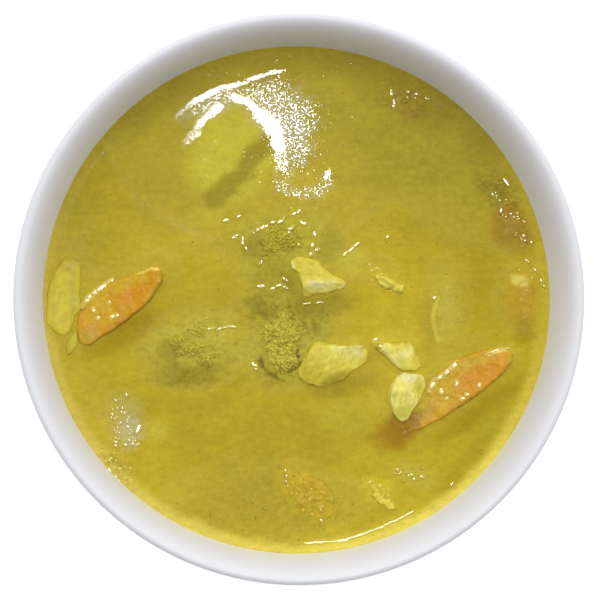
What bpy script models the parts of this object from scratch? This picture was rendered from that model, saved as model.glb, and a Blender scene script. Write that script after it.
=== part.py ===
"""Thai green curry served in a white porcelain bowl. Metres, +Z up, the foot ring standing on z = 0.

The bowl is turned about the Z axis. The curry fills it to a little below the rim, with a meniscus at the
wall and low swells over what lies just under its surface. Every carrot slice, chicken piece, broccoli
floret and other vegetable that breaks the surface is a solid of its own, in a pocket that it fits.
"""

import math
from typing import NamedTuple

import bmesh
import bpy
from mathutils import Euler, Vector, noise

MM = 0.001

# The bowl: an inner and an outer wall, each part of an ellipse, joined by a round lip.
RIM_RADIUS = 80.0 * MM
BOWL_HEIGHT = 68.0 * MM
LIP_WIDTH = 2.5 * MM
LIP_STEPS = 4
ELLIPSE_RISE = 14.0 * MM  # both ellipses are centred this far above the lip's middle
INNER_FLOOR = 6.5 * MM
OUTER_FLOOR = 0.0 * MM
WALL_STEPS = 8
FOOT_RADIUS = 36.0 * MM
FOOT_WIDTH = 4.2 * MM
FOOT_BEVEL = 0.6 * MM
FOOT_HOLLOW = 3.0 * MM
BOWL_SIDES = 48

# The curry: its level, the meniscus that climbs the wall, and how closely pieces are fitted.
CURRY_LEVEL = 52.6 * MM
MENISCUS_RISE = 1.8 * MM
MENISCUS_REACH = 2.4 * MM
SURFACE_RINGS = 6
GAP = 0.3 * MM
POCKET_GAP = 0.4 * MM

# Base colour and roughness of each material.
PORCELAIN = ("porcelain", (0.86, 0.87, 0.88), 0.15)
CURRY = ("curry", (0.47, 0.36, 0.035), 0.2)
CARROT = ("carrot", (0.66, 0.30, 0.035), 0.3)
PEPPER = ("pepper", (0.38, 0.20, 0.025), 0.25)
CHICKEN = ("chicken", (0.73, 0.62, 0.14), 0.45)
COURGETTE = ("courgette", (0.60, 0.50, 0.07), 0.3)
BROCCOLI = ("broccoli", (0.36, 0.31, 0.04), 0.45)

# ---------------------------------------------------------------- what lies in the curry
#
# Lengths in this part are in millimetres and angles in degrees. A place is x, y and the height of the
# piece's middle above the curry's level, and a tilt is the turns about X, Y and Z.


class Swell(NamedTuple):
    """A rise of the surface over something sunk."""

    middle: tuple
    half_lengths: tuple
    turn: float
    rise: float


class Slice(NamedTuple):
    """A bias-cut half slice of a root."""

    name: str
    finish: tuple
    length: float
    width: float
    thickness: float
    place: tuple
    tilt: tuple
    points: int = 16


class Chunk(NamedTuple):
    """A cut or torn chunk, by the corners of its outline about its middle."""

    name: str
    finish: tuple
    corners: list
    thickness: float
    place: tuple
    tilt: tuple
    squareness: float = 0.32
    layer_turns: tuple = (-64.0, -32.0, 0.0, 32.0, 64.0)


class Floret(NamedTuple):
    """A broccoli head of domes on a short stalk."""

    name: str
    finish: tuple
    radii: tuple
    domes: int
    place: tuple
    tilt: tuple


CRUMB = {"squareness": 0.45, "layer_turns": (-50.0, 0.0, 50.0)}

SWELLS = [
    Swell((-20.5, 43.6), (15.0, 8.0), 48.0, 1.9),
    Swell((-7.5, 35.2), (8.0, 5.0), 60.0, 0.8),
    Swell((14.8, -33.0), (8.0, 7.0), 0.0, 0.6),
    Swell((-5.0, 16.2), (13.0, 11.0), 0.0, 0.7),
    Swell((-29.5, -13.6), (13.0, 9.0), 0.0, 0.5),
]

SLICES = [
    Slice("carrot_right", CARROT, 42.0, 12.0, 5.0, (44.9, -27.5, -1.1), (-9.0, -6.0, 34.5)),
    Slice("carrot_left", CARROT, 29.5, 11.5, 5.0, (-51.4, -3.1, -0.8), (-9.0, -4.0, 38.0)),
    Slice("carrot_bottom", CARROT, 17.0, 9.5, 4.5, (3.8, -57.7, -1.8), (6.0, 3.0, -42.0), 14),
]

CHUNKS = [
    Chunk(
        "carrot_rim",
        CARROT,
        [(-4.6, 6.8), (0.8, 7.2), (3.6, 2.6), (3.4, -4.0), (0.2, -7.6), (-3.4, -4.2)],
        thickness=6.0,
        place=(66.0, -0.1, -2.0),
        tilt=(0.0, -8.0, 0.0),
        **CRUMB,
    ),
    Chunk(
        "pepper_rim",
        PEPPER,
        [(-5.4, 4.8), (-0.6, 6.8), (3.2, 2.8), (5.4, -4.2), (1.4, -6.4), (-4.6, -3.2)],
        thickness=5.0,
        place=(62.6, 21.6, -1.7),
        tilt=(4.0, -4.0, 0.0),
        **CRUMB,
    ),
    Chunk(
        "pepper_top",
        PEPPER,
        [(-5.0, 3.0), (0.4, 4.4), (5.0, 1.6), (4.0, -3.4), (-1.0, -4.0), (-4.4, -1.6)],
        thickness=4.6,
        place=(32.0, 57.0, -1.6),
        tilt=(4.0, 2.0, 0.0),
        **CRUMB,
    ),
    Chunk(
        "chicken_centre",
        CHICKEN,
        [
            (-7.6, 3.0), (-4.4, 6.6), (-0.4, 5.0), (3.8, 1.4),
            (9.4, -3.4), (1.4, -6.4), (-2.6, -6.0), (-5.0, 0.2),
        ],
        thickness=8.0,
        place=(4.3, 6.3, -1.2),
        tilt=(-5.0, 6.0, 0.0),
    ),
    Chunk(
        "chicken_low",
        CHICKEN,
        [
            (-4.6, 6.8), (8.4, 5.4), (10.2, 2.6), (4.8, -3.4),
            (-1.4, -6.2), (-7.8, -5.8), (-9.8, -2.4), (-7.4, 3.4),
        ],
        thickness=8.5,
        place=(9.3, -19.0, -1.2),
        tilt=(4.0, -5.0, 0.0),
    ),
    Chunk(
        "chicken_right_upper",
        CHICKEN,
        [(-7.8, 3.6), (5.8, 4.2), (6.4, 1.0), (5.0, -4.6), (-1.0, -4.8), (-4.2, -1.4)],
        thickness=7.0,
        place=(30.2, -16.0, -1.2),
        tilt=(5.0, 0.0, 0.0),
    ),
    Chunk(
        "chicken_right_lower",
        CHICKEN,
        [
            (-2.6, 6.6), (-4.8, 1.6), (-5.2, -2.2), (-3.0, -5.6),
            (-0.4, -7.2), (3.0, -3.4), (5.2, 0.8), (5.0, 6.4),
        ],
        thickness=7.0,
        place=(30.8, -27.9, 0.6),
        tilt=(-4.0, 3.0, 0.0),
    ),
    Chunk(
        "chicken_crumb",
        CHICKEN,
        [(-5.2, 2.8), (-2.6, 2.6), (0.2, 1.2), (5.2, -0.4), (3.6, -2.8), (-0.2, -2.4), (-3.4, -0.6)],
        thickness=4.0,
        place=(26.4, 4.5, -0.9),
        tilt=(0.0, 0.0, 0.0),
        **CRUMB,
    ),
    Chunk(
        "chicken_shred",
        CHICKEN,
        [(-4.6, 3.2), (-2.0, 4.0), (1.2, 0.6), (5.0, -3.4), (3.0, -4.6), (-1.4, -1.8)],
        thickness=4.0,
        place=(23.9, -57.1, -1.1),
        tilt=(0.0, 0.0, 0.0),
        **CRUMB,
    ),
    Chunk(
        "courgette_left",
        COURGETTE,
        [
            (-3.4, 6.0), (-4.4, -5.6), (-2.8, -11.2), (0.6, -12.4),
            (4.4, -5.0), (4.8, 5.0), (3.2, 12.6), (-0.8, 12.8),
        ],
        thickness=5.2,
        place=(-66.3, -0.1, -1.1),
        tilt=(5.0, 9.0, 0.0),
    ),
    Chunk(
        "courgette_right",
        COURGETTE,
        [(0.6, 9.6), (-2.4, 3.6), (-3.6, -3.0), (-2.2, -8.8), (3.6, -9.2), (4.2, -1.0), (3.8, 7.2)],
        thickness=5.0,
        place=(42.7, -3.7, -1.9),
        tilt=(0.0, 4.0, 0.0),
    ),
    Chunk(
        "onion_sliver",
        COURGETTE,
        [(-2.4, -0.6), (0.4, 3.2), (2.4, 4.2), (2.0, 0.0), (-1.2, -4.4), (-2.0, -3.8)],
        thickness=2.6,
        place=(-64.5, -12.2, -0.6),
        tilt=(0.0, 0.0, 0.0),
        **CRUMB,
    ),
]

FLORETS = [
    Floret("broccoli_upper", BROCCOLI, (12.0, 10.5, 6.5), 9, (-5.1, 15.7, -4.7), (5.0, 0.0, 0.0)),
    Floret("broccoli_centre", BROCCOLI, (10.2, 14.5, 7.0), 11, (-3.8, -12.6, -4.7), (0.0, 0.0, 4.0)),
    Floret("broccoli_left", BROCCOLI, (13.0, 10.0, 6.0), 9, (-29.5, -13.8, -4.1), (0.0, 0.0, 0.0)),
]

# Where two pieces meet, the first is hollowed to make room for the second, which leans on it.
LEANING = [
    ("broccoli_upper", "chicken_centre"),
    ("broccoli_centre", "chicken_low"),
    ("broccoli_centre", "chicken_centre"),
    ("carrot_right", "chicken_right_lower"),
    ("chicken_right_upper", "chicken_right_lower"),
    ("courgette_left", "carrot_left"),
    ("onion_sliver", "courgette_left"),
    ("onion_sliver", "carrot_left"),
]

# A chunk's unevenness: how far its points move, as a share, and how quickly that changes along it.
UNEVENNESS = 0.16
UNEVENNESS_PER_MM = 0.23

# A slice: its arc's share of the width, the bevel of its edges, and how far its upper face sinks in.
ARC_SHARE = 0.64
SLICE_BEVEL = 0.5
SLICE_SINK = 0.35
SLICE_UNEVENNESS = 0.05

# A floret of unit size: its core, its domes from the crown down, and the balls of its stalk.
CORE_SIZE = 0.74
DOME_REACH = 0.62
DOME_SIZE = 0.36
DOME_SPREAD = 0.07
CROWN_TOP = 0.96
CROWN_DEPTH = 1.1
DOME_SOFTNESS = 14.0
STALK_BALLS = [(-0.5, 0.46), (-0.75, 0.41), (-1.0, 0.36)]
FLORET_DIVISIONS = 3


# ---------------------------------------------------------------- helpers


def material(finish):
    """The material of one finish, made when first asked for."""
    name, colour, roughness = finish
    found = bpy.data.materials.get(name)
    if found is None:
        found = bpy.data.materials.new(name)
        found.use_nodes = True
        shader = found.node_tree.nodes["Principled BSDF"]
        shader.inputs["Base Color"].default_value = (*colour, 1.0)
        shader.inputs["Roughness"].default_value = roughness
        shader.inputs["Metallic"].default_value = 0.0
    return found


def add_object(name, bm, finish):
    """Turns a bmesh into a smooth-shaded object of triangles."""
    bmesh.ops.recalc_face_normals(bm, faces=bm.faces)
    bmesh.ops.triangulate(bm, faces=bm.faces)
    mesh = bpy.data.meshes.new(name)
    bm.to_mesh(mesh)
    bm.free()
    mesh.shade_smooth()
    mesh.set_sharp_from_angle(angle=math.radians(40.0))
    mesh.materials.append(material(finish))
    obj = bpy.data.objects.new(name, mesh)
    bpy.context.scene.collection.objects.link(obj)
    return obj


def set_in_curry(piece, bm):
    """Turns a piece's bmesh into its object, lying in the curry at its place and tilt."""
    obj = add_object(piece.name, bm, piece.finish)
    x, y, height = piece.place
    obj.location = (x * MM, y * MM, CURRY_LEVEL + height * MM)
    obj.rotation_euler = Euler([math.radians(angle) for angle in piece.tilt])
    return obj


def turned(profile, sides):
    """A closed body turned about Z from a profile of (radius, height) that starts and ends on the axis."""
    bm = bmesh.new()
    line = [bm.verts.new((radius, 0.0, height)) for radius, height in profile]
    edges = [bm.edges.new(pair) for pair in zip(line, line[1:])]
    bmesh.ops.spin(
        bm,
        geom=line + edges,
        axis=(0.0, 0.0, 1.0),
        cent=(0.0, 0.0, 0.0),
        angle=2.0 * math.pi,
        steps=sides,
        use_merge=True,
    )
    bmesh.ops.remove_doubles(bm, verts=bm.verts, dist=0.001 * MM)
    return bm


def wobble(point, seed):
    """A smooth random number from -1 to 1 for a point, other for each seed."""
    return noise.noise(point + Vector((7.3, 3.1, 5.7)) * seed)


# ---------------------------------------------------------------- bowl


def ellipse_centre():
    """Height of the centre that the bowl's inner and outer ellipses share."""
    return BOWL_HEIGHT - LIP_WIDTH / 2 + ELLIPSE_RISE


def wall(lip_radius, floor, end_radius):
    """Points of an elliptic wall, from the lip down to end_radius, as (radius, height)."""
    depth = ellipse_centre() - floor
    start = math.asin(ELLIPSE_RISE / depth)
    reach = lip_radius / math.cos(start)
    end = math.acos(end_radius / reach)
    turns = [start + (end - start) * k / WALL_STEPS for k in range(WALL_STEPS + 1)]
    return [(reach * math.cos(a), ellipse_centre() - depth * math.sin(a)) for a in turns]


def inner_wall():
    """Points of the bowl's inside, from the lip down to the axis."""
    return wall(RIM_RADIUS - LIP_WIDTH, INNER_FLOOR, 0.0)


def lip():
    """The half round of the rim between the outer wall and the inner one, without its two ends."""
    half = LIP_WIDTH / 2
    turns = [math.pi * k / LIP_STEPS for k in range(1, LIP_STEPS)]
    return [
        (RIM_RADIUS - half + half * math.cos(a), BOWL_HEIGHT - half + half * math.sin(a))
        for a in turns
    ]


def foot():
    """The foot ring from the hollow base out to the outer wall, as (radius, height)."""
    inside = FOOT_RADIUS - FOOT_WIDTH
    return [
        (0.0, FOOT_HOLLOW),
        (inside - 2 * FOOT_BEVEL, FOOT_HOLLOW),
        (inside, FOOT_BEVEL),
        (inside + FOOT_BEVEL, 0.0),
        (FOOT_RADIUS - 2 * FOOT_BEVEL, 0.0),
        (FOOT_RADIUS - FOOT_BEVEL, FOOT_BEVEL),
    ]


def make_bowl():
    """The bowl, one turned body of porcelain."""
    outside = wall(RIM_RADIUS, OUTER_FLOOR, FOOT_RADIUS)[::-1]
    profile = foot() + outside + lip() + inner_wall()
    return add_object("bowl", turned(profile, BOWL_SIDES), PORCELAIN)


# ---------------------------------------------------------------- curry


def swell_height(x, y):
    """How far the surface swells over the sunk pieces at a point."""
    height = 0.0
    for swell in SWELLS:
        dx, dy = x / MM - swell.middle[0], y / MM - swell.middle[1]
        c, s = math.cos(math.radians(swell.turn)), math.sin(math.radians(swell.turn))
        along = (dx * c + dy * s) / swell.half_lengths[0]
        across = (dy * c - dx * s) / swell.half_lengths[1]
        height += swell.rise * MM * math.exp(-1.6 * (along**2 + across**2))
    return height


def side_of_curry(top_height):
    """The bowl's inside drawn in by the gap, from the axis up to a height, as (radius, height)."""
    centre = ellipse_centre()
    share = 1.0 - GAP / (centre - INNER_FLOOR)
    drawn = [(r * share, centre + (h - centre) * share) for r, h in inner_wall()[::-1]]
    side = [point for point in drawn if point[1] < top_height]
    (r_low, h_low), (r_high, h_high) = drawn[len(side) - 1], drawn[len(side)]
    part = (top_height - h_low) / (h_high - h_low)
    return side + [(r_low + part * (r_high - r_low), top_height)]


def make_curry():
    """The curry as one body: it follows the bowl's inside, and its top has a meniscus and swells."""
    side = side_of_curry(CURRY_LEVEL + MENISCUS_RISE)
    edge = side[-1][0]
    rings = [edge * math.sin(0.5 * math.pi * k / SURFACE_RINGS) for k in range(SURFACE_RINGS)]
    top = [
        (r, CURRY_LEVEL + MENISCUS_RISE * math.exp(-(edge - r) / MENISCUS_REACH))
        for r in rings
    ]
    bm = turned(side + top[::-1], BOWL_SIDES)
    for vert in bm.verts:
        radius = math.hypot(vert.co.x, vert.co.y)
        if vert.co.z >= CURRY_LEVEL and radius < edge - GAP:
            vert.co.z += swell_height(vert.co.x, vert.co.y)
    return add_object("curry", bm, CURRY)


# ---------------------------------------------------------------- slices and chunks


def smoothed(corners):
    """A closed outline with each corner cut once, so that it has twice the points and no sharp turn."""
    found = []
    for here, there in zip(corners, corners[1:] + corners[:1]):
        found.append(tuple(0.75 * a + 0.25 * b for a, b in zip(here, there)))
        found.append(tuple(0.25 * a + 0.75 * b for a, b in zip(here, there)))
    return found


def stacked(outline, layers, unevenness, seed):
    """A closed body from one outline at several layers of (scale, height), all in millimetres.

    The first and the last layer are single points. unevenness moves every point in or out by a share.
    """
    bm = bmesh.new()

    def vert(x, y, z):
        point = Vector((x, y, z))
        push = unevenness * wobble(point * UNEVENNESS_PER_MM, seed)
        return bm.verts.new(point * (1.0 + push) * MM)

    loops = [
        [vert(x * scale, y * scale, height) for x, y in outline]
        for scale, height in layers[1:-1]
    ]
    for under, over in zip(loops, loops[1:]):
        for k in range(len(outline)):
            n = (k + 1) % len(outline)
            bm.faces.new((under[k], under[n], over[n], over[k]))
    for loop, height in ((loops[0], layers[0][1]), (loops[-1], layers[-1][1])):
        tip = vert(0.0, 0.0, height)
        for k in range(len(outline)):
            bm.faces.new((loop[k], loop[(k + 1) % len(outline)], tip))
    return bm


def make_chunk(chunk, seed):
    """A chunk with a round edge. Its squareness of 1 gives an ellipsoid, and near 0 a flat block."""
    half = chunk.thickness / 2
    rings = []
    for turn in chunk.layer_turns:
        scale = math.cos(math.radians(turn)) ** chunk.squareness
        height = half * abs(math.sin(math.radians(turn))) ** chunk.squareness
        rings.append((scale, math.copysign(height, turn)))
    layers = [(0.0, -half)] + rings + [(0.0, half)]
    return set_in_curry(chunk, stacked(smoothed(chunk.corners), layers, UNEVENNESS, seed))


def make_slice(piece, seed):
    """A slice with a full arc on one side, a flatter edge on the other, and a face sunk in a little."""
    outline = []
    for k in range(piece.points):
        a = 2.0 * math.pi * k / piece.points
        share = ARC_SHARE if math.sin(a) > 0 else 1.0 - ARC_SHARE
        outline.append((piece.length / 2 * math.cos(a), share * piece.width * math.sin(a)))
    half = piece.thickness / 2
    layers = [
        (0.0, -half),
        (0.92, -half),
        (1.0, -half + 2 * SLICE_BEVEL),
        (1.0, half - SLICE_BEVEL),
        (0.94, half),
        (0.5, half - 0.7 * SLICE_SINK),
        (0.0, half - SLICE_SINK),
    ]
    return set_in_curry(piece, stacked(outline, layers, SLICE_UNEVENNESS, seed))


# ---------------------------------------------------------------- florets


def balls_of_floret(domes, seed):
    """The balls that make up a floret of unit size: core, domes by the golden angle, and stalk."""
    golden = math.pi * (3.0 - math.sqrt(5.0))
    balls = [(Vector((0.0, 0.0, 0.0)), CORE_SIZE)]
    for k in range(domes):
        height = CROWN_TOP - CROWN_DEPTH * (k + 0.5) / domes
        around = golden * k + seed
        ring = math.sqrt(1.0 - height * height)
        way = Vector((ring * math.cos(around), ring * math.sin(around), height))
        balls.append((way * DOME_REACH, DOME_SIZE + DOME_SPREAD * wobble(way * 3.0, seed)))
    balls += [(Vector((0.0, 0.0, height)), size) for height, size in STALK_BALLS]
    return balls


def reach_of_ball(way, centre, size):
    """How far from the origin a ray along way leaves a ball, or 0 where it misses."""
    along = way.dot(centre)
    inside = along * along - centre.length_squared + size * size
    return along + math.sqrt(inside) if inside > 0.0 else 0.0


def make_floret(floret, seed):
    """A broccoli head, whose surface is the furthest reach of its balls, run softly together."""
    balls = balls_of_floret(floret.domes, seed)
    bm = bmesh.new()
    bmesh.ops.create_icosphere(bm, subdivisions=FLORET_DIVISIONS, radius=1.0)
    for vert in bm.verts:
        way = vert.co.normalized()
        powers = sum(math.exp(DOME_SOFTNESS * reach_of_ball(way, *ball)) for ball in balls)
        reach = math.log(powers) / DOME_SOFTNESS
        vert.co = Vector([way[i] * reach * floret.radii[i] * MM for i in range(3)])
    return set_in_curry(floret, bm)


# ---------------------------------------------------------------- fitting


def pocket_for(piece):
    """A cutter a little larger than the piece all round, kept out of the model itself."""
    bm = bmesh.new()
    bm.from_mesh(piece.data)
    bm.normal_update()
    shifts = [(vert, vert.normal * vert.calc_shell_factor() * POCKET_GAP) for vert in bm.verts]
    for vert, shift in shifts:
        vert.co += shift
    mesh = bpy.data.meshes.new("pocket_" + piece.name)
    bm.to_mesh(mesh)
    bm.free()
    cutter = bpy.data.objects.new("pocket_" + piece.name, mesh)
    cutter.location = piece.location
    cutter.rotation_euler = piece.rotation_euler
    cutter.hide_render = True
    cutter.display_type = "WIRE"
    bpy.context.scene.collection.objects.link(cutter)
    return cutter


def make_room(body, cutter):
    """Cuts the cutter's shape out of the body."""
    cut = body.modifiers.new("room for " + cutter.name, "BOOLEAN")
    cut.operation = "DIFFERENCE"
    cut.object = cutter


def fit_together(curry, pieces):
    """Pockets in the curry for all pieces, and hollows where one piece leans on another."""
    pockets = {piece.name: pocket_for(piece) for piece in pieces}
    for cutter in pockets.values():
        make_room(curry, cutter)
    by_name = {piece.name: piece for piece in pieces}
    for under, over in LEANING:
        make_room(by_name[under], pockets[over])


def main():
    """Builds the bowl, the curry and its pieces in an empty scene."""
    for obj in list(bpy.data.objects):
        bpy.data.objects.remove(obj)
    make_bowl()
    curry = make_curry()
    pieces = [make_slice(piece, seed) for seed, piece in enumerate(SLICES, start=1)]
    pieces += [make_chunk(chunk, seed) for seed, chunk in enumerate(CHUNKS, start=4)]
    pieces += [make_floret(floret, seed) for seed, floret in enumerate(FLORETS, start=1)]
    fit_together(curry, pieces)


main()
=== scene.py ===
"""Thai green curry in a white porcelain bowl: its finishes, its wet surface and the small things in it.

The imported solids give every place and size. Here the bowl is turned finely, the sauce becomes one sheet
with menisci and swells, and each piece of food is refined and dressed. Lengths are in metres; a number
times MM is in millimetres. Places on the surface are given in millimetres from the bowl's axis, and
directions in degrees from X.
"""

import logging
import math
from collections.abc import Callable
from dataclasses import dataclass, field
from enum import Enum
from itertools import product

import bmesh
import bpy
import numpy as np
from mathutils import Matrix, Vector
from mathutils.bvhtree import BVHTree


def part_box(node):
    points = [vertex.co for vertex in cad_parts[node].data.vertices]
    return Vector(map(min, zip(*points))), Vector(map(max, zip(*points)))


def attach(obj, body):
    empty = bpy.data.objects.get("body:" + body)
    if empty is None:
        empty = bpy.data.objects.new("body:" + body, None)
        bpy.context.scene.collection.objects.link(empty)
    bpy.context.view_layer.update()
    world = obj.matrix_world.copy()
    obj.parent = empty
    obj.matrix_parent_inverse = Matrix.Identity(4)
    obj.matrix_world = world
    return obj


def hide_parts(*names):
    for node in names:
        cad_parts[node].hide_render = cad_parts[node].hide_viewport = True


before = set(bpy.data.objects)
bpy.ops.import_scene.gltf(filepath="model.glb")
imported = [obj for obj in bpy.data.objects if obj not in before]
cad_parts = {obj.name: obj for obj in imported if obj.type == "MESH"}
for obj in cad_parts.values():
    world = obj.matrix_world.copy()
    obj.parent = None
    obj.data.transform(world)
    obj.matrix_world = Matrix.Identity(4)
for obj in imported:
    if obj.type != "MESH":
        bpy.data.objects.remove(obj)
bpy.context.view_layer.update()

MM = 0.001
LEVEL = 52.6
BODY = "root"
DOWN = Vector((0.0, 0.0, -1.0))
HASH_AXES = (73856093, 19349663, 83492791)
HASH_SEED, HASH_FIRST, HASH_SECOND = 2654435761, 1274126177, 668265263
HASH_MASK, HASH_HALF = 0xFFFFFFFF, 0x7FFFFFFF
log = logging.getLogger("curry")

Array = np.ndarray
Pair = tuple[float, float]
Triple = tuple[float, float, float]
Colour = Triple
Mesh = bpy.types.Mesh
Piece = bpy.types.Object
Material = bpy.types.Material
Socket = bpy.types.NodeSocket


# ---------------------------------------------------------------- numbers


def lattice_noise(points: Array, seed: int = 0) -> Array:
    """Smooth noise from -1 to 1.

    Args:
        points: An (n, 3) array of places, with one unit to each cell of the noise.
        seed: Picks one pattern from another.

    Returns:
        One value for each point.
    """
    cell = np.floor(points).astype(np.int64)
    share = points - cell
    share = share**3 * (share * (share * 6.0 - 15.0) + 10.0)
    total = np.zeros(len(points))
    for corner in product((0, 1), repeat=3):
        key = (cell + corner) @ np.array(HASH_AXES) + seed * HASH_SEED
        key = ((key ^ (key >> 13)) * HASH_FIRST) & HASH_MASK
        key = ((key ^ (key >> 16)) * HASH_SECOND) & HASH_MASK
        weight = np.prod(np.where(corner, share, 1.0 - share), axis=1)
        total += weight * ((key ^ (key >> 15)) / HASH_HALF - 1.0)
    return total


def layered_noise(points: Array, size: float, layers: int = 3, seed: int = 0) -> Array:
    """Noise from -1 to 1 of several layers, each half as large and half as strong as the one before.

    Args:
        points: An (n, 3) array of places.
        size: The size of the largest cells, in the units of the places.
        layers: The number of layers.
        seed: Picks one pattern from another.

    Returns:
        One value for each point.
    """
    total, most = np.zeros(len(points)), 0.0
    for layer in range(layers):
        weight = 0.5**layer
        total += weight * lattice_noise(points / (size * weight) + 17.3 * layer, seed + layer)
        most += weight
    return total / most


def ramp(value: Array, low: float, high: float) -> Array:
    """A smooth step from 0 at low to 1 at high."""
    share = np.clip((value - low) / (high - low), 0.0, 1.0)
    return share * share * (3.0 - 2.0 * share)


def flat(points: Array) -> Array:
    """The points in millimetres with their heights dropped to 0."""
    return np.column_stack((points[:, 0], points[:, 1], np.zeros(len(points)))) / MM


# ---------------------------------------------------------------- regions of the surface


@dataclass(frozen=True)
class Spot:
    """An oval region, turned from X, with a soft and ragged outline."""

    x: float
    y: float
    long: float
    wide: float
    turn: float = 0.0
    soft: float = 0.5
    ragged: float = 0.2
    grain: float = 5.0

    def reach(self, points: Array) -> Array:
        """How far out each point lies, with 1 on the region's own outline."""
        place = flat(points)
        c, s = math.cos(math.radians(self.turn)), math.sin(math.radians(self.turn))
        dx, dy = place[:, 0] - self.x, place[:, 1] - self.y
        found = np.hypot((dx * c + dy * s) / self.long, (dy * c - dx * s) / self.wide)
        if self.ragged:
            found = found + self.ragged * layered_noise(place, self.grain, 3, seed=int(self.x * 3 + self.y))
        return found

    def cover(self, points: Array) -> Array:
        """How much the region covers each point, from 0 outside it to 1 within."""
        return 1.0 - ramp(self.reach(points), 1.0 - self.soft, 1.0 + self.soft)


@dataclass(frozen=True)
class Streak:
    """A narrow band along a line, which is given as x, y, x, y and so on."""

    line: tuple[float, ...]
    width: float
    ragged: float = 0.3

    def cover(self, points: Array) -> Array:
        """How much the band covers each point, from 0 outside it to 1 on its line."""
        place = flat(points)
        nearest = np.full(len(place), np.inf)
        line = np.reshape(self.line, (-1, 2))
        for start, end in zip(line, line[1:]):
            run, away = end - start, place[:, :2] - start
            share = np.clip(away @ run / (run @ run), 0.0, 1.0)
            nearest = np.minimum(nearest, np.linalg.norm(away - share[:, None] * run, axis=1))
        nearest = nearest / self.width + self.ragged * layered_noise(place, 2.5, 2, seed=5)
        return 1.0 - ramp(nearest, 0.3, 1.0)


@dataclass(frozen=True)
class Mark:
    """A region, how strongly something shows in it, and its colour if it is a stain or painted light or
    shade.
    """

    where: Spot | Streak
    strength: float = 1.0
    colour: Colour | None = None

    def cover(self, points: Array) -> Array:
        """How strongly the mark shows at each point."""
        return self.strength * self.where.cover(points)


def shares(*rows: tuple, colour: Colour | None = None) -> tuple[Mark, ...]:
    """Makes marks.

    Args:
        rows: For each mark its strength, and then what a Spot or a Streak takes, in that order.
        colour: The colour that all of them have.

    Returns:
        The marks.
    """
    return tuple(
        Mark(Streak(*place) if isinstance(place[0], tuple) else Spot(*place), strength, colour)
        for strength, *place in rows
    )


def stains_and_shading(*rows: tuple) -> tuple[Mark, ...]:
    """Makes marks of stains and of painted light and shade from rows of a colour, followed by what shares
    takes.
    """
    return tuple(mark for colour, *row in rows for mark in shares(row, colour=colour))


def strongest(marks: tuple[Mark, ...], points: Array) -> Array:
    """The strongest of several marks at each point."""
    found = np.zeros(len(points))
    for mark in marks:
        found = np.maximum(found, mark.cover(points))
    return found


def mixed(colours: Array, share: Array, colour: Colour) -> Array:
    """Each point's colour mixed with another by its share."""
    share = share[:, None]
    return colours * (1.0 - share) + share * np.array(colour)


def stained_and_shaded(plain: Colour, marks: tuple[Mark, ...], points: Array, uneven: Array | float = 1.0) -> Array:
    """The colour at each point of something with stains and painted light and shade.

    Args:
        plain: Its colour without the marks.
        marks: The stains and painted light and shade, each laid over those before it.
        points: An (n, 3) array of places.
        uneven: What the plain colour is multiplied by.

    Returns:
        An (n, 3) array of colours.
    """
    colours = np.tile(np.array(plain), (len(points), 1)) * uneven
    for mark in marks:
        colours = mixed(colours, mark.cover(points), mark.colour)
    return colours


# ---------------------------------------------------------------- the scene


def placed(name: str, data: bpy.types.ID) -> Piece:
    """A new object in the scene."""
    obj = bpy.data.objects.new(name, data)
    bpy.context.scene.collection.objects.link(obj)
    return obj


def applied(mesh: Mesh, prepare: Callable[[Piece], None]) -> Mesh:
    """The mesh that another becomes with the modifiers that prepare gives to its carrier."""
    carrier = placed("carrier", mesh)
    prepare(carrier)
    evaluated = carrier.evaluated_get(bpy.context.evaluated_depsgraph_get())
    result = bpy.data.meshes.new_from_object(evaluated)
    bpy.data.objects.remove(carrier)
    return result


def wear(mesh: Mesh, material: Material) -> Mesh:
    """Gives all of a mesh one material, and gives the mesh back."""
    mesh.materials.clear()
    mesh.materials.append(material)
    mesh.polygons.foreach_set("material_index", [0] * len(mesh.polygons))
    return mesh


# ---------------------------------------------------------------- nodes


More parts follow.
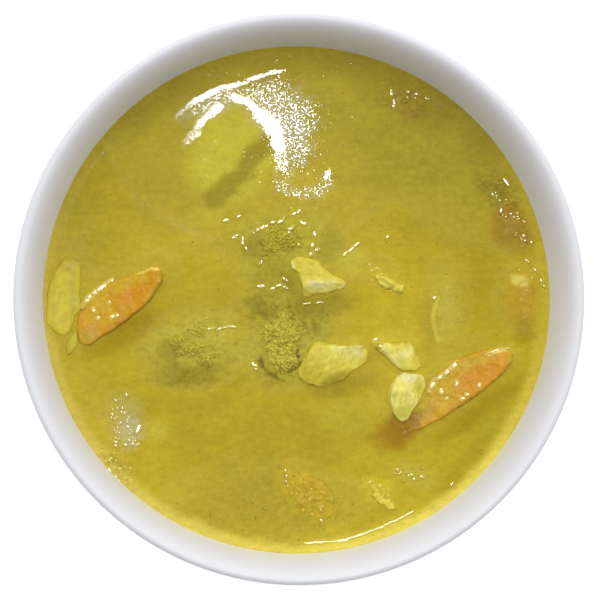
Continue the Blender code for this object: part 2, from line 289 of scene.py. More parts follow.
class Nodes:
    """Adds nodes to a tree and links them."""

    def __init__(self, tree: bpy.types.NodeTree) -> None:
        """Takes the tree to fill."""
        self.tree = tree

    def add(self, kind: str, inputs: dict | None = None, **settings: object) -> bpy.types.Node:
        """Adds one node.

        Args:
            kind: The node's type.
            inputs: What goes into its sockets, by name or number: another node's output, or a value.
            settings: The node's own properties.

        Returns:
            The new node.
        """
        node = self.tree.nodes.new(kind)
        for name, value in settings.items():
            setattr(node, name, value)
        for name, value in (inputs or {}).items():
            if isinstance(value, Socket):
                self.tree.links.new(value, node.inputs[name])
            else:
                node.inputs[name].default_value = value
        return node

    def out(self, kind: str, inputs: dict | None = None, **settings: object) -> Socket:
        """The first output of a new node."""
        return self.add(kind, inputs, **settings).outputs[0]

    def math(self, operation: str, *values: object) -> Socket:
        """The result of a Math node on one to three values or sockets."""
        return self.out("ShaderNodeMath", dict(enumerate(values)), operation=operation)

    def times(self, *values: object) -> Socket:
        """The product of two or more values or sockets."""
        first, *others = values
        for other in others:
            first = self.math("MULTIPLY", first, other)
        return first

    def ramp(self, value: object, low: object, high: object) -> Socket:
        """A smooth step of a socket from 0 at low to 1 at high."""
        inputs = {"Value": value, "From Min": low, "From Max": high}
        return self.out("ShaderNodeMapRange", inputs, interpolation_type="SMOOTHSTEP")

    def fall(self, value: object, low: float, high: float) -> Socket:
        """A smooth step of a socket from 1 at low to 0 at high."""
        return self.math("SUBTRACT", 1.0, self.ramp(value, low, high))

    def mix(self, share: object, first: object, second: object, blend: str = "MIX") -> Socket:
        """Two colours mixed by a share, or blended in another way."""
        colours = [c if isinstance(c, Socket) else (*c, 1.0) for c in (first, second)]
        inputs = {0: share, 6: colours[0], 7: colours[1]}
        return self.add("ShaderNodeMix", inputs, data_type="RGBA", blend_type=blend).outputs[2]

    def shaded(self, colour: Socket, shade: Socket) -> Socket:
        """A colour made lighter or darker by a number."""
        grey = self.out("ShaderNodeCombineColor", {k: shade for k in range(3)})
        return self.mix(1.0, colour, grey, "MULTIPLY")

    def place(self) -> Socket:
        """A piece's own Object coordinates."""
        return self.add("ShaderNodeTexCoord").outputs["Object"]

    def noise(self, place: Socket, size: float, detail: float = 2.0) -> Socket:
        """A noise from 0 to 1 whose features are about size metres apart."""
        inputs = {"Vector": place, "Scale": 1.0 / size, "Detail": detail, "Roughness": 0.55}
        return self.out("ShaderNodeTexNoise", inputs)


class Sockets(Enum):
    """The kinds of socket that trees take and give."""

    GEOMETRY = "NodeSocketGeometry"
    NUMBER = "NodeSocketFloat"
    COUNT = "NodeSocketInt"
    COLOUR = "NodeSocketColor"
    MATERIAL = "NodeSocketMaterial"


class Tree(Nodes):
    """A node tree of its own with named inputs and outputs."""

    def __init__(self, name: str, kind: str = "ShaderNodeTree") -> None:
        """Starts an empty tree of a name and a kind."""
        super().__init__(bpy.data.node_groups.new(name, kind))
        self.start = self.add("NodeGroupInput")
        self.end = self.add("NodeGroupOutput")

    def take(self, name: str, kind: Sockets, default: object = None) -> Socket:
        """Adds a named input and gives the socket that carries it inside the tree."""
        made = self.tree.interface.new_socket(name, in_out="INPUT", socket_type=kind.value)
        if default is not None:
            made.default_value = default
        return self.start.outputs[name]

    def numbers(self, **defaults: float) -> list[Socket]:
        """Adds one number input for each name, and gives their sockets."""
        return [self.take(name, Sockets.NUMBER, value) for name, value in defaults.items()]

    def give(self, name: str, kind: Sockets, value: Socket) -> bpy.types.NodeTree:
        """Adds a named output that carries a socket's value, and gives the tree."""
        self.tree.interface.new_socket(name, in_out="OUTPUT", socket_type=kind.value)
        self.tree.links.new(value, self.end.inputs[name])
        return self.tree


class GeometryTree(Tree):
    """A Geometry Nodes tree that turns one mesh into another."""

    def __init__(self, name: str) -> None:
        """Starts the tree with its geometry and its material."""
        super().__init__(name, "GeometryNodeTree")
        self.source = self.take("Geometry", Sockets.GEOMETRY)
        self.dress = self.take("Finish", Sockets.MATERIAL)

    def named(self, name: str, kind: str = "FLOAT") -> Socket:
        """One of the mesh's own attributes."""
        return self.out("GeometryNodeInputNamedAttribute", {"Name": name}, data_type=kind)

    def between(self, low: object, high: object, seed: Socket) -> Socket:
        """A random number for each point."""
        inputs = {2: low, 3: high, "Seed": seed}
        return self.add("FunctionNodeRandomValue", inputs, data_type="FLOAT").outputs[1]

    def strewn(self, method: str, seed: Socket, inputs: dict) -> tuple[Socket, Socket]:
        """Points strewn over the source's faces, and the turn of the face at each."""
        inputs = {"Mesh": self.source, "Seed": seed, **inputs}
        found = self.add("GeometryNodeDistributePointsOnFaces", inputs, distribute_method=method)
        return found.outputs["Points"], found.outputs["Rotation"]

    def ball(self, segments: int, rings: int, radius: object = 1.0) -> Socket:
        """A ball of a few faces."""
        inputs = {"Segments": segments, "Rings": rings, "Radius": radius}
        return self.add("GeometryNodeMeshUVSphere", inputs).outputs["Mesh"]

    def copies(self, points: Socket, solid: Socket, turn: Socket, size: Socket) -> Socket:
        """A copy of a solid on each point, by its turn and its size."""
        inputs = {"Points": points, "Instance": solid, "Rotation": turn, "Scale": size}
        return self.out("GeometryNodeInstanceOnPoints", inputs)

    def finish(self, geometry: Socket) -> "GeometryTree":
        """Ends the tree: instances become mesh, which takes the material."""
        real = self.out("GeometryNodeRealizeInstances", {"Geometry": geometry})
        dressed = self.out("GeometryNodeSetMaterial", {"Geometry": real, "Material": self.dress})
        self.give("Geometry", Sockets.GEOMETRY, dressed)
        return self

    def run(self, mesh: Mesh, material: Material, **values: object) -> Mesh:
        """Runs the tree on a mesh.

        Args:
            mesh: The mesh that goes in, which is used up.
            material: What the result wears.
            values: The tree's other inputs by name.

        Returns:
            The plain mesh that comes out.
        """
        values["Finish"] = material

        def fill(carrier: Piece) -> None:
            modifier = carrier.modifiers.new("tree", "NODES")
            modifier.node_group = self.tree
            for item in self.tree.interface.items_tree:
                if item.name in values and item.in_out == "INPUT":
                    modifier[item.identifier] = values[item.name]

        return wear(applied(mesh, fill), material)


# ---------------------------------------------------------------- shared effects


def sauce_body_tree() -> bpy.types.NodeTree:
    """The colour of the sauce: a tint with mottling of three sizes, dark grit and specks of herb."""
    tree = Tree("sauce body")
    tint = tree.take("Tint", Sockets.COLOUR, (0.45, 0.35, 0.03, 1.0))
    mottle, grit, specks = tree.numbers(Mottle=0.2, Grit=0.0, Specks=0.5)
    place = tree.place()
    drawn = tree.out("ShaderNodeMapping", {"Vector": place, "Scale": (0.6, 1.0, 1.0)})
    shade = -0.525
    layers = ((drawn, 6.0, 3.0, 0.35), (drawn, 1.5, 2.0, 0.35), (place, 0.42, 1.0, 0.36))
    for where, size, detail, weight in layers:
        shade = tree.math("MULTIPLY_ADD", tree.noise(where, size * MM, detail), weight, shade)
    lit = tree.shaded(tint, tree.math("MULTIPLY_ADD", shade, mottle, 1.0))
    clumps = tree.ramp(tree.noise(place, 1.3 * MM, 4.0), 0.44, 0.62)
    gritty = tree.mix(tree.times(clumps, grit), lit, tree.mix(1.0, lit, (0.52, 0.50, 0.40), "MULTIPLY"))
    cells = tree.add("ShaderNodeTexVoronoi", {"Vector": place, "Scale": 1.0 / (1.5 * MM)})
    small = tree.fall(cells.outputs["Distance"], 0.06, 0.17)
    picked = tree.out("ShaderNodeSeparateColor", {"Color": cells.outputs["Color"]})
    mask = tree.times(small, tree.math("GREATER_THAN", picked, 0.62), specks)
    dark = tree.mix(1.0, tint, (0.42, 0.44, 0.35), "MULTIPLY")
    return tree.give("Color", Sockets.COLOUR, tree.mix(mask, gritty, dark))


def wet_relief_tree() -> bpy.types.NodeTree:
    """The height of a wet skin: fine wrinkles over low lumps."""
    tree = Tree("wet relief")
    fine, coarse = tree.numbers(Fine=1.0, Coarse=1.0)
    place = tree.place()
    wrinkles = tree.times(tree.noise(place, 0.8 * MM), fine)
    lumps = tree.times(tree.noise(place, 2.2 * MM), coarse)
    return tree.give("Height", Sockets.NUMBER, tree.math("ADD", wrinkles, lumps))


def broken_tree() -> bpy.types.NodeTree:
    """A share from 0 to 1 broken up into grains: all bare at 0, half covered at a half, closed at 1."""
    tree = Tree("broken cover")
    share, grain, contrast, soft = tree.numbers(Share=0.5, Grain=0.5 * MM, Contrast=3.0, Soft=0.1)
    inputs = {0: tree.place(), 3: tree.math("DIVIDE", 1.0, grain)}
    place = tree.out("ShaderNodeVectorMath", inputs, operation="SCALE")
    grains = tree.math("SUBTRACT", tree.noise(place, 1.0), 0.5)
    level = tree.math("MULTIPLY_ADD", grains, contrast, tree.math("MULTIPLY_ADD", share, 2.0, -1.0))
    return tree.give("Mask", Sockets.NUMBER, tree.ramp(level, tree.times(soft, -1.0), soft))


class Effects:
    """The shader groups that several finishes share."""

    def __init__(self) -> None:
        """Builds each group once."""
        self.body = sauce_body_tree()
        self.relief = wet_relief_tree()
        self.broken = broken_tree()


# ---------------------------------------------------------------- finishes


class Finish(Nodes):
    """A material in the making: one Principled shader with what all finishes need."""

    def __init__(self, name: str, roughness: float, ior: float = 1.45) -> None:
        """Starts the material.

        Args:
            name: The material's name.
            roughness: The roughness where nothing is linked to it.
            ior: The index of refraction of the surface.
        """
        self.material = bpy.data.materials.new(name)
        self.material.use_nodes = True
        super().__init__(self.material.node_tree)
        self.inputs = self.tree.nodes["Principled BSDF"].inputs
        self.fix(Roughness=roughness, IOR=ior)

    def fix(self, **values: object) -> None:
        """Sets the shader's inputs to constants, by name with _ for a space."""
        for name, value in values.items():
            self.inputs[name.replace("_", " ")].default_value = value

    def into(self, name: str, value: Socket) -> None:
        """Links a socket into one of the shader's inputs."""
        self.tree.links.new(value, self.inputs[name])

    def group(self, tree: bpy.types.NodeTree, inputs: dict) -> Socket:
        """The result of a shared effect."""
        return self.out("ShaderNodeGroup", inputs, node_tree=tree)

    def painted(self, name: str, kind: str = "Fac") -> Socket:
        """One of the mesh's own attributes, as a number or as a Color."""
        return self.add("ShaderNodeAttribute", attribute_name=name).outputs[kind]

    def sauce(self, effects: Effects, specks: float, mottle: float = 0.85) -> Socket:
        """The colour of the sauce, by the tint and the grit painted on the mesh."""
        inputs = {"Tint": self.painted("tint", "Color"), "Grit": self.painted("grit")}
        return self.group(effects.body, {**inputs, "Mottle": mottle, "Specks": specks})

    def grains(self, effects: Effects, name: str, grain: float, contrast: float, soft: float) -> Socket:
        """A share painted on the mesh, broken up into grains."""
        inputs = {"Share": self.painted(name), "Grain": grain, "Contrast": contrast, "Soft": soft}
        return self.group(effects.broken, inputs)

    def bump(self, height: Socket, distance: float) -> None:
        """Raises the surface by a height from 0 to 1 times distance metres."""
        inputs = {"Height": height, "Distance": distance, "Strength": 1.0}
        self.into("Normal", self.out("ShaderNodeBump", inputs))

    def soften(self, weight: float, scale: float, radius: Colour) -> None:
        """Lets light spread under the surface, by constants on the shader."""
        self.fix(Subsurface_Weight=weight, Subsurface_Scale=scale, Subsurface_Radius=radius)


@dataclass(frozen=True)
class Porcelain:
    """White glazed porcelain with the faintest unevenness, stained thinly where sauce has touched it.

    Its inside is what lies above low_end and within the wall's core, a cone of a foot and a lean. Its inside
    is painted bluer than the lip, against the yellow light that the sauce throws on it, and its outside
    darker, as painted shade.
    """

    # painted light and shade: the inside bluer against the sauce's yellow light, the outside darker
    colour: Colour = (0.875, 0.89, 0.965)
    lip: Colour = (0.825, 0.83, 0.825)
    outside: Colour = (0.715, 0.72, 0.725)
    stain: Colour = (0.84, 0.76, 0.22)
    bare: Colour = (0.80, 0.79, 0.77)
    roughness: float = 0.3
    ior: float = 1.2
    film: float = 0.25
    film_ends: Pair = (52.8 * MM, 61.0 * MM)
    film_side: Pair = (60.0 * MM, -50.0 * MM)
    film_wave: float = 9.0 * MM
    cloud: float = 0.03
    foot_ends: Pair = (0.9 * MM, 0.3 * MM)
    foot_dull: float = 0.4
    hollow_ends: Pair = (78.0 * MM, 74.5 * MM)
    outside_ends: Pair = (67.0 * MM, 60.0 * MM)
    low_end: float = 50.0 * MM
    core_foot: float = 58.5 * MM
    core_lean: float = 0.3

    def make(self) -> Material:
        """Builds the material."""
        finish = Finish("white glaze", self.roughness, self.ior)
        place = finish.place()
        _, y, z = finish.add("ShaderNodeSeparateXYZ", {"Vector": place}).outputs
        level = {0: place, 1: (1.0, 1.0, 0.0)}
        away = finish.out("ShaderNodeVectorMath", level, operation="MULTIPLY")
        across = finish.add("ShaderNodeVectorMath", {0: away}, operation="LENGTH").outputs["Value"]
        core = finish.math("MULTIPLY_ADD", z, self.core_lean, self.core_foot)
        inside = finish.math("GREATER_THAN", core, across)
        inside = finish.times(inside, finish.math("GREATER_THAN", z, self.low_end))
        hollow = finish.times(inside, finish.ramp(across, *self.hollow_ends))
        outer = finish.math("SUBTRACT", finish.ramp(z, *self.outside_ends), inside)
        # the glaze painted for the light: bluer inside, darker outside as painted shade
        glaze = finish.mix(outer, finish.mix(hollow, self.lip, self.colour), self.outside)
        glaze = finish.mix(finish.times(finish.noise(place, 18.0 * MM), self.cloud), glaze, self.bare)
        foot = finish.ramp(z, *self.foot_ends)
        glaze = finish.mix(foot, glaze, self.bare)
        wave = finish.math("SUBTRACT", finish.noise(place, 7.0 * MM, 3.0), 0.5)
        film = finish.fall(finish.math("MULTIPLY_ADD", wave, self.film_wave, z), *self.film_ends)
        film = finish.times(film, finish.ramp(y, *self.film_side), inside, self.film)
        finish.into("Base Color", finish.mix(film, glaze, self.stain))
        finish.into("Roughness", finish.math("ADD", self.roughness, finish.times(foot, self.foot_dull)))
        finish.bump(finish.noise(place, 9.0 * MM), 0.05 * MM)
        return finish.material


@dataclass(frozen=True)
class Sauce:
    """Coconut sauce: coloured by the tints painted on the mesh, and shiny where its skin is unbroken."""

    name: str = "curry sauce"
    specks: float = 0.45
    shiny: float = 0.07
    dull: float = 0.8
    fine: float = 0.35
    coarse: float = 0.9
    depth: float = 0.012 * MM
    grain: float = 0.62 * MM
    contrast: float = 5.0
    soft: float = 0.12

    def make(self, effects: Effects) -> Material:
        """Builds the material.

        Args:
            effects: The shared shader groups.

        Returns:
            The material.
        """
        finish = Finish(self.name, self.shiny, 1.36)
        finish.into("Base Color", finish.sauce(effects, self.specks))
        skin = finish.grains(effects, "shine", self.grain, self.contrast, self.soft)
        change = finish.times(skin, self.shiny - self.dull)
        finish.into("Roughness", finish.math("ADD", change, self.dull))
        finish.bump(finish.group(effects.relief, {"Fine": self.fine, "Coarse": self.coarse}), self.depth)
        finish.soften(0.12, 1.2 * MM, (1.0, 0.75, 0.25))
        return finish.material


@dataclass(frozen=True)
class Fat:
    """Clear beads of fat and juice that glint on the surface; without a colour they take the sauce's."""

    name: str = "wet beads"
    colour: Colour | None = None
    roughness: float = 0.12

    def make(self) -> Material:
        """Builds the material."""
        finish = Finish(self.name, self.roughness, 1.45)
        if self.colour is None:
            finish.into("Base Color", finish.painted("tint", "Color"))
        else:
            finish.fix(Base_Color=(*self.colour, 1.0))
        return finish.material


class Grain(Enum):
    """What a cut piece looks like inside, as its texture's scale along, across and up."""

    CELLS = (0.7, 1.0, 1.0)
    FIBRES = (0.3, 1.0, 1.0)
    BUDS = (1.0, 1.0, 1.0)


@dataclass(frozen=True)
class Flesh:
    """Cooked food under a thin coat of sauce: painted tones, among them painted highlights and painted
    shade, a grain along the piece, and a wet skin.
    """

    name: str
    grain: Grain
    dark: Colour
    turn: float = 0.0
    roughness: float = 0.45
    relief: float = 0.12 * MM
    glow: float = 0.12
    contrast: float = 0.45
    size: float = 0.9 * MM
    specks: float = 0.3
    coat_roughness: float = 0.5
    coat_grain: float = 1.3 * MM
    coat_contrast: float = 2.4
    coat_soft: float = 0.9

    def make(self, effects: Effects) -> Material:
        """Builds the material.

        Args:
            effects: The shared shader groups.

        Returns:
            The material.
        """
        finish = Finish(self.name, self.roughness, 1.34)
        place = finish.place()
        turn = {"Vector": place, "Rotation": (0.0, 0.0, -math.radians(self.turn))}
        drawn = {"Vector": finish.out("ShaderNodeMapping", turn), "Scale": self.grain.value}
        streaks = finish.noise(finish.out("ShaderNodeMapping", drawn), self.size, 3.0)
        pale = finish.math("MULTIPLY_ADD", finish.noise(place, 2.4 * MM, 3.0), 0.5, 0.75)
        flesh = finish.shaded(finish.painted("flesh", "Color"), pale)
        flesh = finish.mix(finish.times(finish.fall(streaks, 0.34, 0.56), self.contrast), flesh, self.dark)
        mask = finish.grains(effects, "coat", self.coat_grain, self.coat_contrast, self.coat_soft)
        finish.into("Base Color", finish.mix(mask, flesh, finish.sauce(effects, self.specks)))
        change = self.coat_roughness - self.roughness
        finish.into("Roughness", finish.math("MULTIPLY_ADD", mask, change, self.roughness))
        height = finish.math("ADD", streaks, finish.group(effects.relief, {"Fine": 0.4, "Coarse": 0.8}))
        finish.bump(finish.times(height, finish.math("MULTIPLY_ADD", mask, -0.8, 1.0)), self.relief)
        finish.soften(self.glow, 1.5 * MM, (1.0, 0.6, 0.2))
        return finish.material


@dataclass(frozen=True)
class Crumb:
    """A small thing in the sauce, of one plain colour with a little unevenness."""

    name: str
    colour: Colour
    roughness: float = 0.2

    def make(self, effects: Effects) -> Material:
        """Builds the material, which needs none of the shared shader groups."""
        finish = Finish(self.name, self.roughness, 1.42)
        uneven = finish.noise(finish.place(), 0.7 * MM)
        darker, paler = (tuple(min(1.0, change * part) for part in self.colour) for change in (0.75, 1.35))
        finish.into("Base Color", finish.mix(uneven, darker, paler))
        finish.bump(uneven, 0.04 * MM)
        return finish.material


# ---------------------------------------------------------------- meshes


def vectors(source: bpy.types.bpy_prop_collection, name: str) -> Array:
    """One vector property of every item as an (n, 3) array."""
    values = np.empty(len(source) * 3)
    source.foreach_get(name, values)
    return values.reshape(-1, 3)


def points_of(mesh: Mesh) -> Array:
    """The places of the mesh's vertices."""
    return vectors(mesh.vertices, "co")


def set_points(mesh: Mesh, points: Array) -> None:
    """Moves the mesh's vertices."""
    mesh.vertices.foreach_set("co", points.ravel())
    mesh.update()


def paint(mesh: Mesh, name: str, values: Array, kind: str = "FLOAT", key: str = "value") -> None:
    """Gives each vertex a value in an attribute of a kind, whose data is read by its key."""
    attribute = mesh.attributes.get(name) or mesh.attributes.new(name, kind, "POINT")
    attribute.data.foreach_set(key, np.ascontiguousarray(values, dtype=np.float32).ravel())


def paint_colour(mesh: Mesh, name: str, values: Array) -> None:
    """Gives each vertex a colour."""
    paint(mesh, name, np.column_stack((values, np.ones(len(values)))), "FLOAT_COLOR", "color")


def add_piece(name: str, mesh: Mesh, slot: str, *nodes: str) -> Piece:
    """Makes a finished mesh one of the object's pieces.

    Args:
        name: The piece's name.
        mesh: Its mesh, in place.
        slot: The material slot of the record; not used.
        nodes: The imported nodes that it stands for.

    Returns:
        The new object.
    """
    mesh.name = name
    obj = placed(name, mesh)
    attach(obj, BODY)
    if nodes:
        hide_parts(*nodes)
    mesh.calc_loop_triangles()
    log.info("%s: %d triangles, %s", name, len(mesh.loop_triangles), mesh.materials[0].name)
    return obj


def welded_copy(node: str) -> Mesh:
    """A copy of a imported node's mesh with its loose triangles merged."""
    bm = bmesh.new()
    bm.from_mesh(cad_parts[node].data)
    bmesh.ops.remove_doubles(bm, verts=bm.verts, dist=0.005 * MM)
    bm.normal_update()
    mesh = bpy.data.meshes.new(node)
    bm.to_mesh(mesh)
    bm.free()
    return mesh


def remeshed(mesh: Mesh, voxel: float, smoothing: int) -> Mesh:
    """The mesh made again from even faces.

    Args:
        mesh: The closed mesh to refine, which is used up.
        voxel: The size of the new faces.
        smoothing: How many rounds of smoothing follow.

    Returns:
        The new mesh.
    """

    def fill(carrier: Piece) -> None:
        remesh = carrier.modifiers.new("remesh", "REMESH")
        remesh.mode = "VOXEL"
        remesh.voxel_size = voxel
        remesh.use_smooth_shade = True
        smooth = carrier.modifiers.new("smooth", "SMOOTH")
        smooth.factor = 0.5
        smooth.iterations = smoothing

    return applied(mesh, fill)


def face_outwards(mesh: Mesh) -> None:
    """Turns a closed mesh's faces round if they point inwards."""
    bm = bmesh.new()
    bm.from_mesh(mesh)
    if bm.calc_volume(signed=True) < 0.0:
        bmesh.ops.reverse_faces(bm, faces=bm.faces)
        bm.to_mesh(mesh)
    bm.free()


def faces_of(meshes: list[Mesh]) -> BVHTree:
    """All the faces of several meshes in one tree for measuring."""
    points: list[Vector] = []
    faces: list[list[int]] = []
    for mesh in meshes:
        start = len(points)
        points += [vert.co.copy() for vert in mesh.vertices]
        faces += [[start + k for k in face.vertices] for face in mesh.polygons]
    return BVHTree.FromPolygons(points, faces)


# ---------------------------------------------------------------- bowl


@dataclass
class Bowl:
    """The round bowl: two elliptic walls joined by a round lip, on a foot ring."""

    lip_width: float = 2.5 * MM
    ellipse_rise: float = 14.0 * MM
    inner_floor: float = 6.5 * MM
    foot_radius: float = 36.0 * MM
    foot_width: float = 4.2 * MM
    foot_bevel: float = 0.6 * MM
    foot_hollow: float = 3.0 * MM
    roll_foot: float = LEVEL * MM
    roll_slope: float = 0.21
    roll_up: float = 5.4 * MM
    roll_in: float = 3.4 * MM
    roll_steps: int = 28
    sides: int = 256
    wall_steps: int = 44
    lip_steps: int = 12
    merge: float = 0.001 * MM
    radius: float = field(init=False)
    height: float = field(init=False)

    def __post_init__(self) -> None:
        """Takes the rim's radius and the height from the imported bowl."""
        self.radius, _, self.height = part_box("bowl")[1]

    @property
    def centre(self) -> float:
        """The height of the centre that both ellipses share."""
        return self.height - self.lip_width / 2 + self.ellipse_rise

    def hollow_radius(self, height: Array | float) -> Array | float:
        """The radius at a height of the ellipse that the inside follows below the roll of its lip."""
        depth = self.centre - self.inner_floor
        reach = (self.radius - self.lip_width) / math.sqrt(1.0 - (self.ellipse_rise / depth) ** 2)
        return reach * np.sqrt(np.clip(1.0 - ((self.centre - height) / depth) ** 2, 0.0, 1.0))

    def inner_radius(self, height: Array | float) -> Array | float:
        """The radius of the inside at a height, up to a little above the foot of the roll."""
        rolled = self.hollow_radius(self.roll_foot) + self.roll_slope * (height - self.roll_foot)
        return np.minimum(self.hollow_radius(height), rolled)

    def roll(self) -> list[Pair]:
        """The points of the lip's soft inner roll, from its crest down, as (radius, height)."""
        low = np.array((self.hollow_radius(self.roll_foot), self.roll_foot))
        high = np.array((self.radius - self.lip_width / 2, self.height))
        above = low + np.array((self.roll_slope, 1.0)) * self.roll_up
        corners = (low, above, high - (self.roll_in, 0.0), high)
        share = np.linspace(1.0, 0.0, self.roll_steps + 1)[:, None]
        weights = ((1 - share) ** 3, 3 * share * (1 - share) ** 2, 3 * share**2 * (1 - share), share**3)
        return [tuple(point) for point in sum(w * corner for w, corner in zip(weights, corners))]

    def wall(self, lip_radius: float, floor: float, end_radius: float) -> list[Pair]:
        """The points of one wall from the lip down.

        Args:
            lip_radius: The wall's radius at the lip.
            floor: The height that the wall's ellipse reaches down to.
            end_radius: The radius where the wall stops.

        Returns:
            Its points as (radius, height).
        """
        depth = self.centre - floor
        start = math.asin(self.ellipse_rise / depth)
        reach = lip_radius / math.cos(start)
        turn = (math.acos(end_radius / reach) - start) / self.wall_steps
        angles = [start + turn * k for k in range(self.wall_steps + 1)]
        return [(reach * math.cos(a), self.centre - depth * math.sin(a)) for a in angles]

    def foot(self) -> list[Pair]:
        """The points of the base and the foot ring, from the base's middle outwards."""
        inside, bevel = self.foot_radius - self.foot_width, self.foot_bevel
        return [
            (0.0, self.foot_hollow),
            (inside - 3 * bevel, self.foot_hollow),
            (inside - bevel, self.foot_hollow * 0.75),
            (inside, bevel),
            (inside + bevel * 0.4, bevel * 0.2),
            (inside + bevel, 0.0),
            (self.foot_radius - 2 * bevel, 0.0),
            (self.foot_radius - bevel * 1.2, bevel * 0.2),
            (self.foot_radius - bevel, bevel),
        ]

    def profile(self) -> list[Pair]:
        """The closed section from the base's middle round to the inside's middle, as (radius, height)."""
        half = self.lip_width / 2
        across, up = self.radius - half, self.height - half
        angles = [math.pi * k / self.lip_steps for k in range(1, self.lip_steps // 2)]
        lip = [(across + half * math.cos(a), up + half * math.sin(a)) for a in angles]
        outside = self.wall(self.radius, 0.0, self.foot_radius)[::-1]
        hollow = self.wall(self.radius - self.lip_width, self.inner_floor, 0.0)
        below = [point for point in hollow if point[1] < self.roll_foot]
        return self.foot() + outside + lip + self.roll() + below

    def turning_tree(self) -> GeometryTree:
        """A tree that turns a line of points about Z: a grid whose rows are copies of the line."""
        tree = GeometryTree("turned about Z")
        sides = tree.take("Sides", Sockets.COUNT, 64)
        (merge,) = tree.numbers(Merge=0.001 * MM)
        count = tree.add("GeometryNodeAttributeDomainSize", {"Geometry": tree.source}).outputs["Point Count"]
        rows = tree.math("ADD", sides, 1.0)
        grid = tree.add("GeometryNodeMeshGrid", {"Vertices X": rows, "Vertices Y": count}).outputs["Mesh"]
        index = tree.out("GeometryNodeInputIndex")
        row = tree.math("FLOOR", tree.math("DIVIDE", tree.math("ADD", index, 0.5), count))
        place = tree.out("GeometryNodeInputPosition")
        along = tree.math("SUBTRACT", index, tree.times(row, count))
        sample = {"Geometry": tree.source, "Value": place, "Index": along}
        line = tree.out("GeometryNodeSampleIndex", sample, data_type="FLOAT_VECTOR")
        turn = {"Vector": line, "Angle": tree.times(tree.math("DIVIDE", row, sides), math.tau)}
        turned = tree.out("ShaderNodeVectorRotate", turn, rotation_type="Z_AXIS")
        moved = tree.out("GeometryNodeSetPosition", {"Geometry": grid, "Position": turned})
        closed = tree.out("GeometryNodeMergeByDistance", {"Geometry": moved, "Distance": merge})
        return tree.finish(tree.out("GeometryNodeSetShadeSmooth", {"Geometry": closed}))

    def build(self) -> Piece:
        """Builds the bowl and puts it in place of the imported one."""
        line = [(radius, 0.0, height) for radius, height in self.profile()]
        mesh = bpy.data.meshes.new("bowl profile")
        mesh.from_pydata(line, [(k, k + 1) for k in range(len(line) - 1)], [])
        made = self.turning_tree().run(mesh, Porcelain().make(), Sides=self.sides, Merge=self.merge)
        made.set_sharp_from_angle(angle=math.radians(35.0))
        face_outwards(made)
        return add_piece("porcelain_bowl", made, "porcelain", "bowl")


# ---------------------------------------------------------------- the sauce's colours


@dataclass(frozen=True)
class EdgeShading:
    """A band of the sauce along the wall, round a direction: painted shade where it is darker, and where it
    is brighter thin sauce over white porcelain with painted light.
    """

    towards: float
    spread: float
    width: float
    colour: Colour
    strength: float

    def cover(self, points: Array, room: Array) -> Array:
        """How strongly the band shows at each point, whose distance to the wall is room."""
        angle = np.degrees(np.arctan2(points[:, 1], points[:, 0])) - self.towards
        off = np.abs((angle + 180.0) % 360.0 - 180.0)
        along = 1.0 - ramp(off, self.spread * 0.45, self.spread)
        uneven = 1.0 + 0.35 * layered_noise(flat(points), 9.0, 2, seed=11)
        return self.strength * (along * (1.0 - ramp(room / (self.width * MM * uneven), 0.1, 1.0)))


# painted sheen: the window's hazy reflection laid into the sauce's colour
PAINTED_SHEEN = (0.63, 0.65, 0.56)
OLIVE = (0.525, 0.44, 0.034)
# painted shadow under the middle broccoli's lower edge
OLIVE_SHADOW = (0.31, 0.245, 0.012)
# painted shadow that pieces cast on the sauce
PAINTED_SHADOW = (0.385, 0.29, 0.013)
# thin sauce over the white wall, brightened by painted light from the lit wall
GOLD_WALL_GLOW = (0.56, 0.43, 0.036)
LEMON = (0.60, 0.52, 0.045)
RUST = (0.36, 0.185, 0.013)


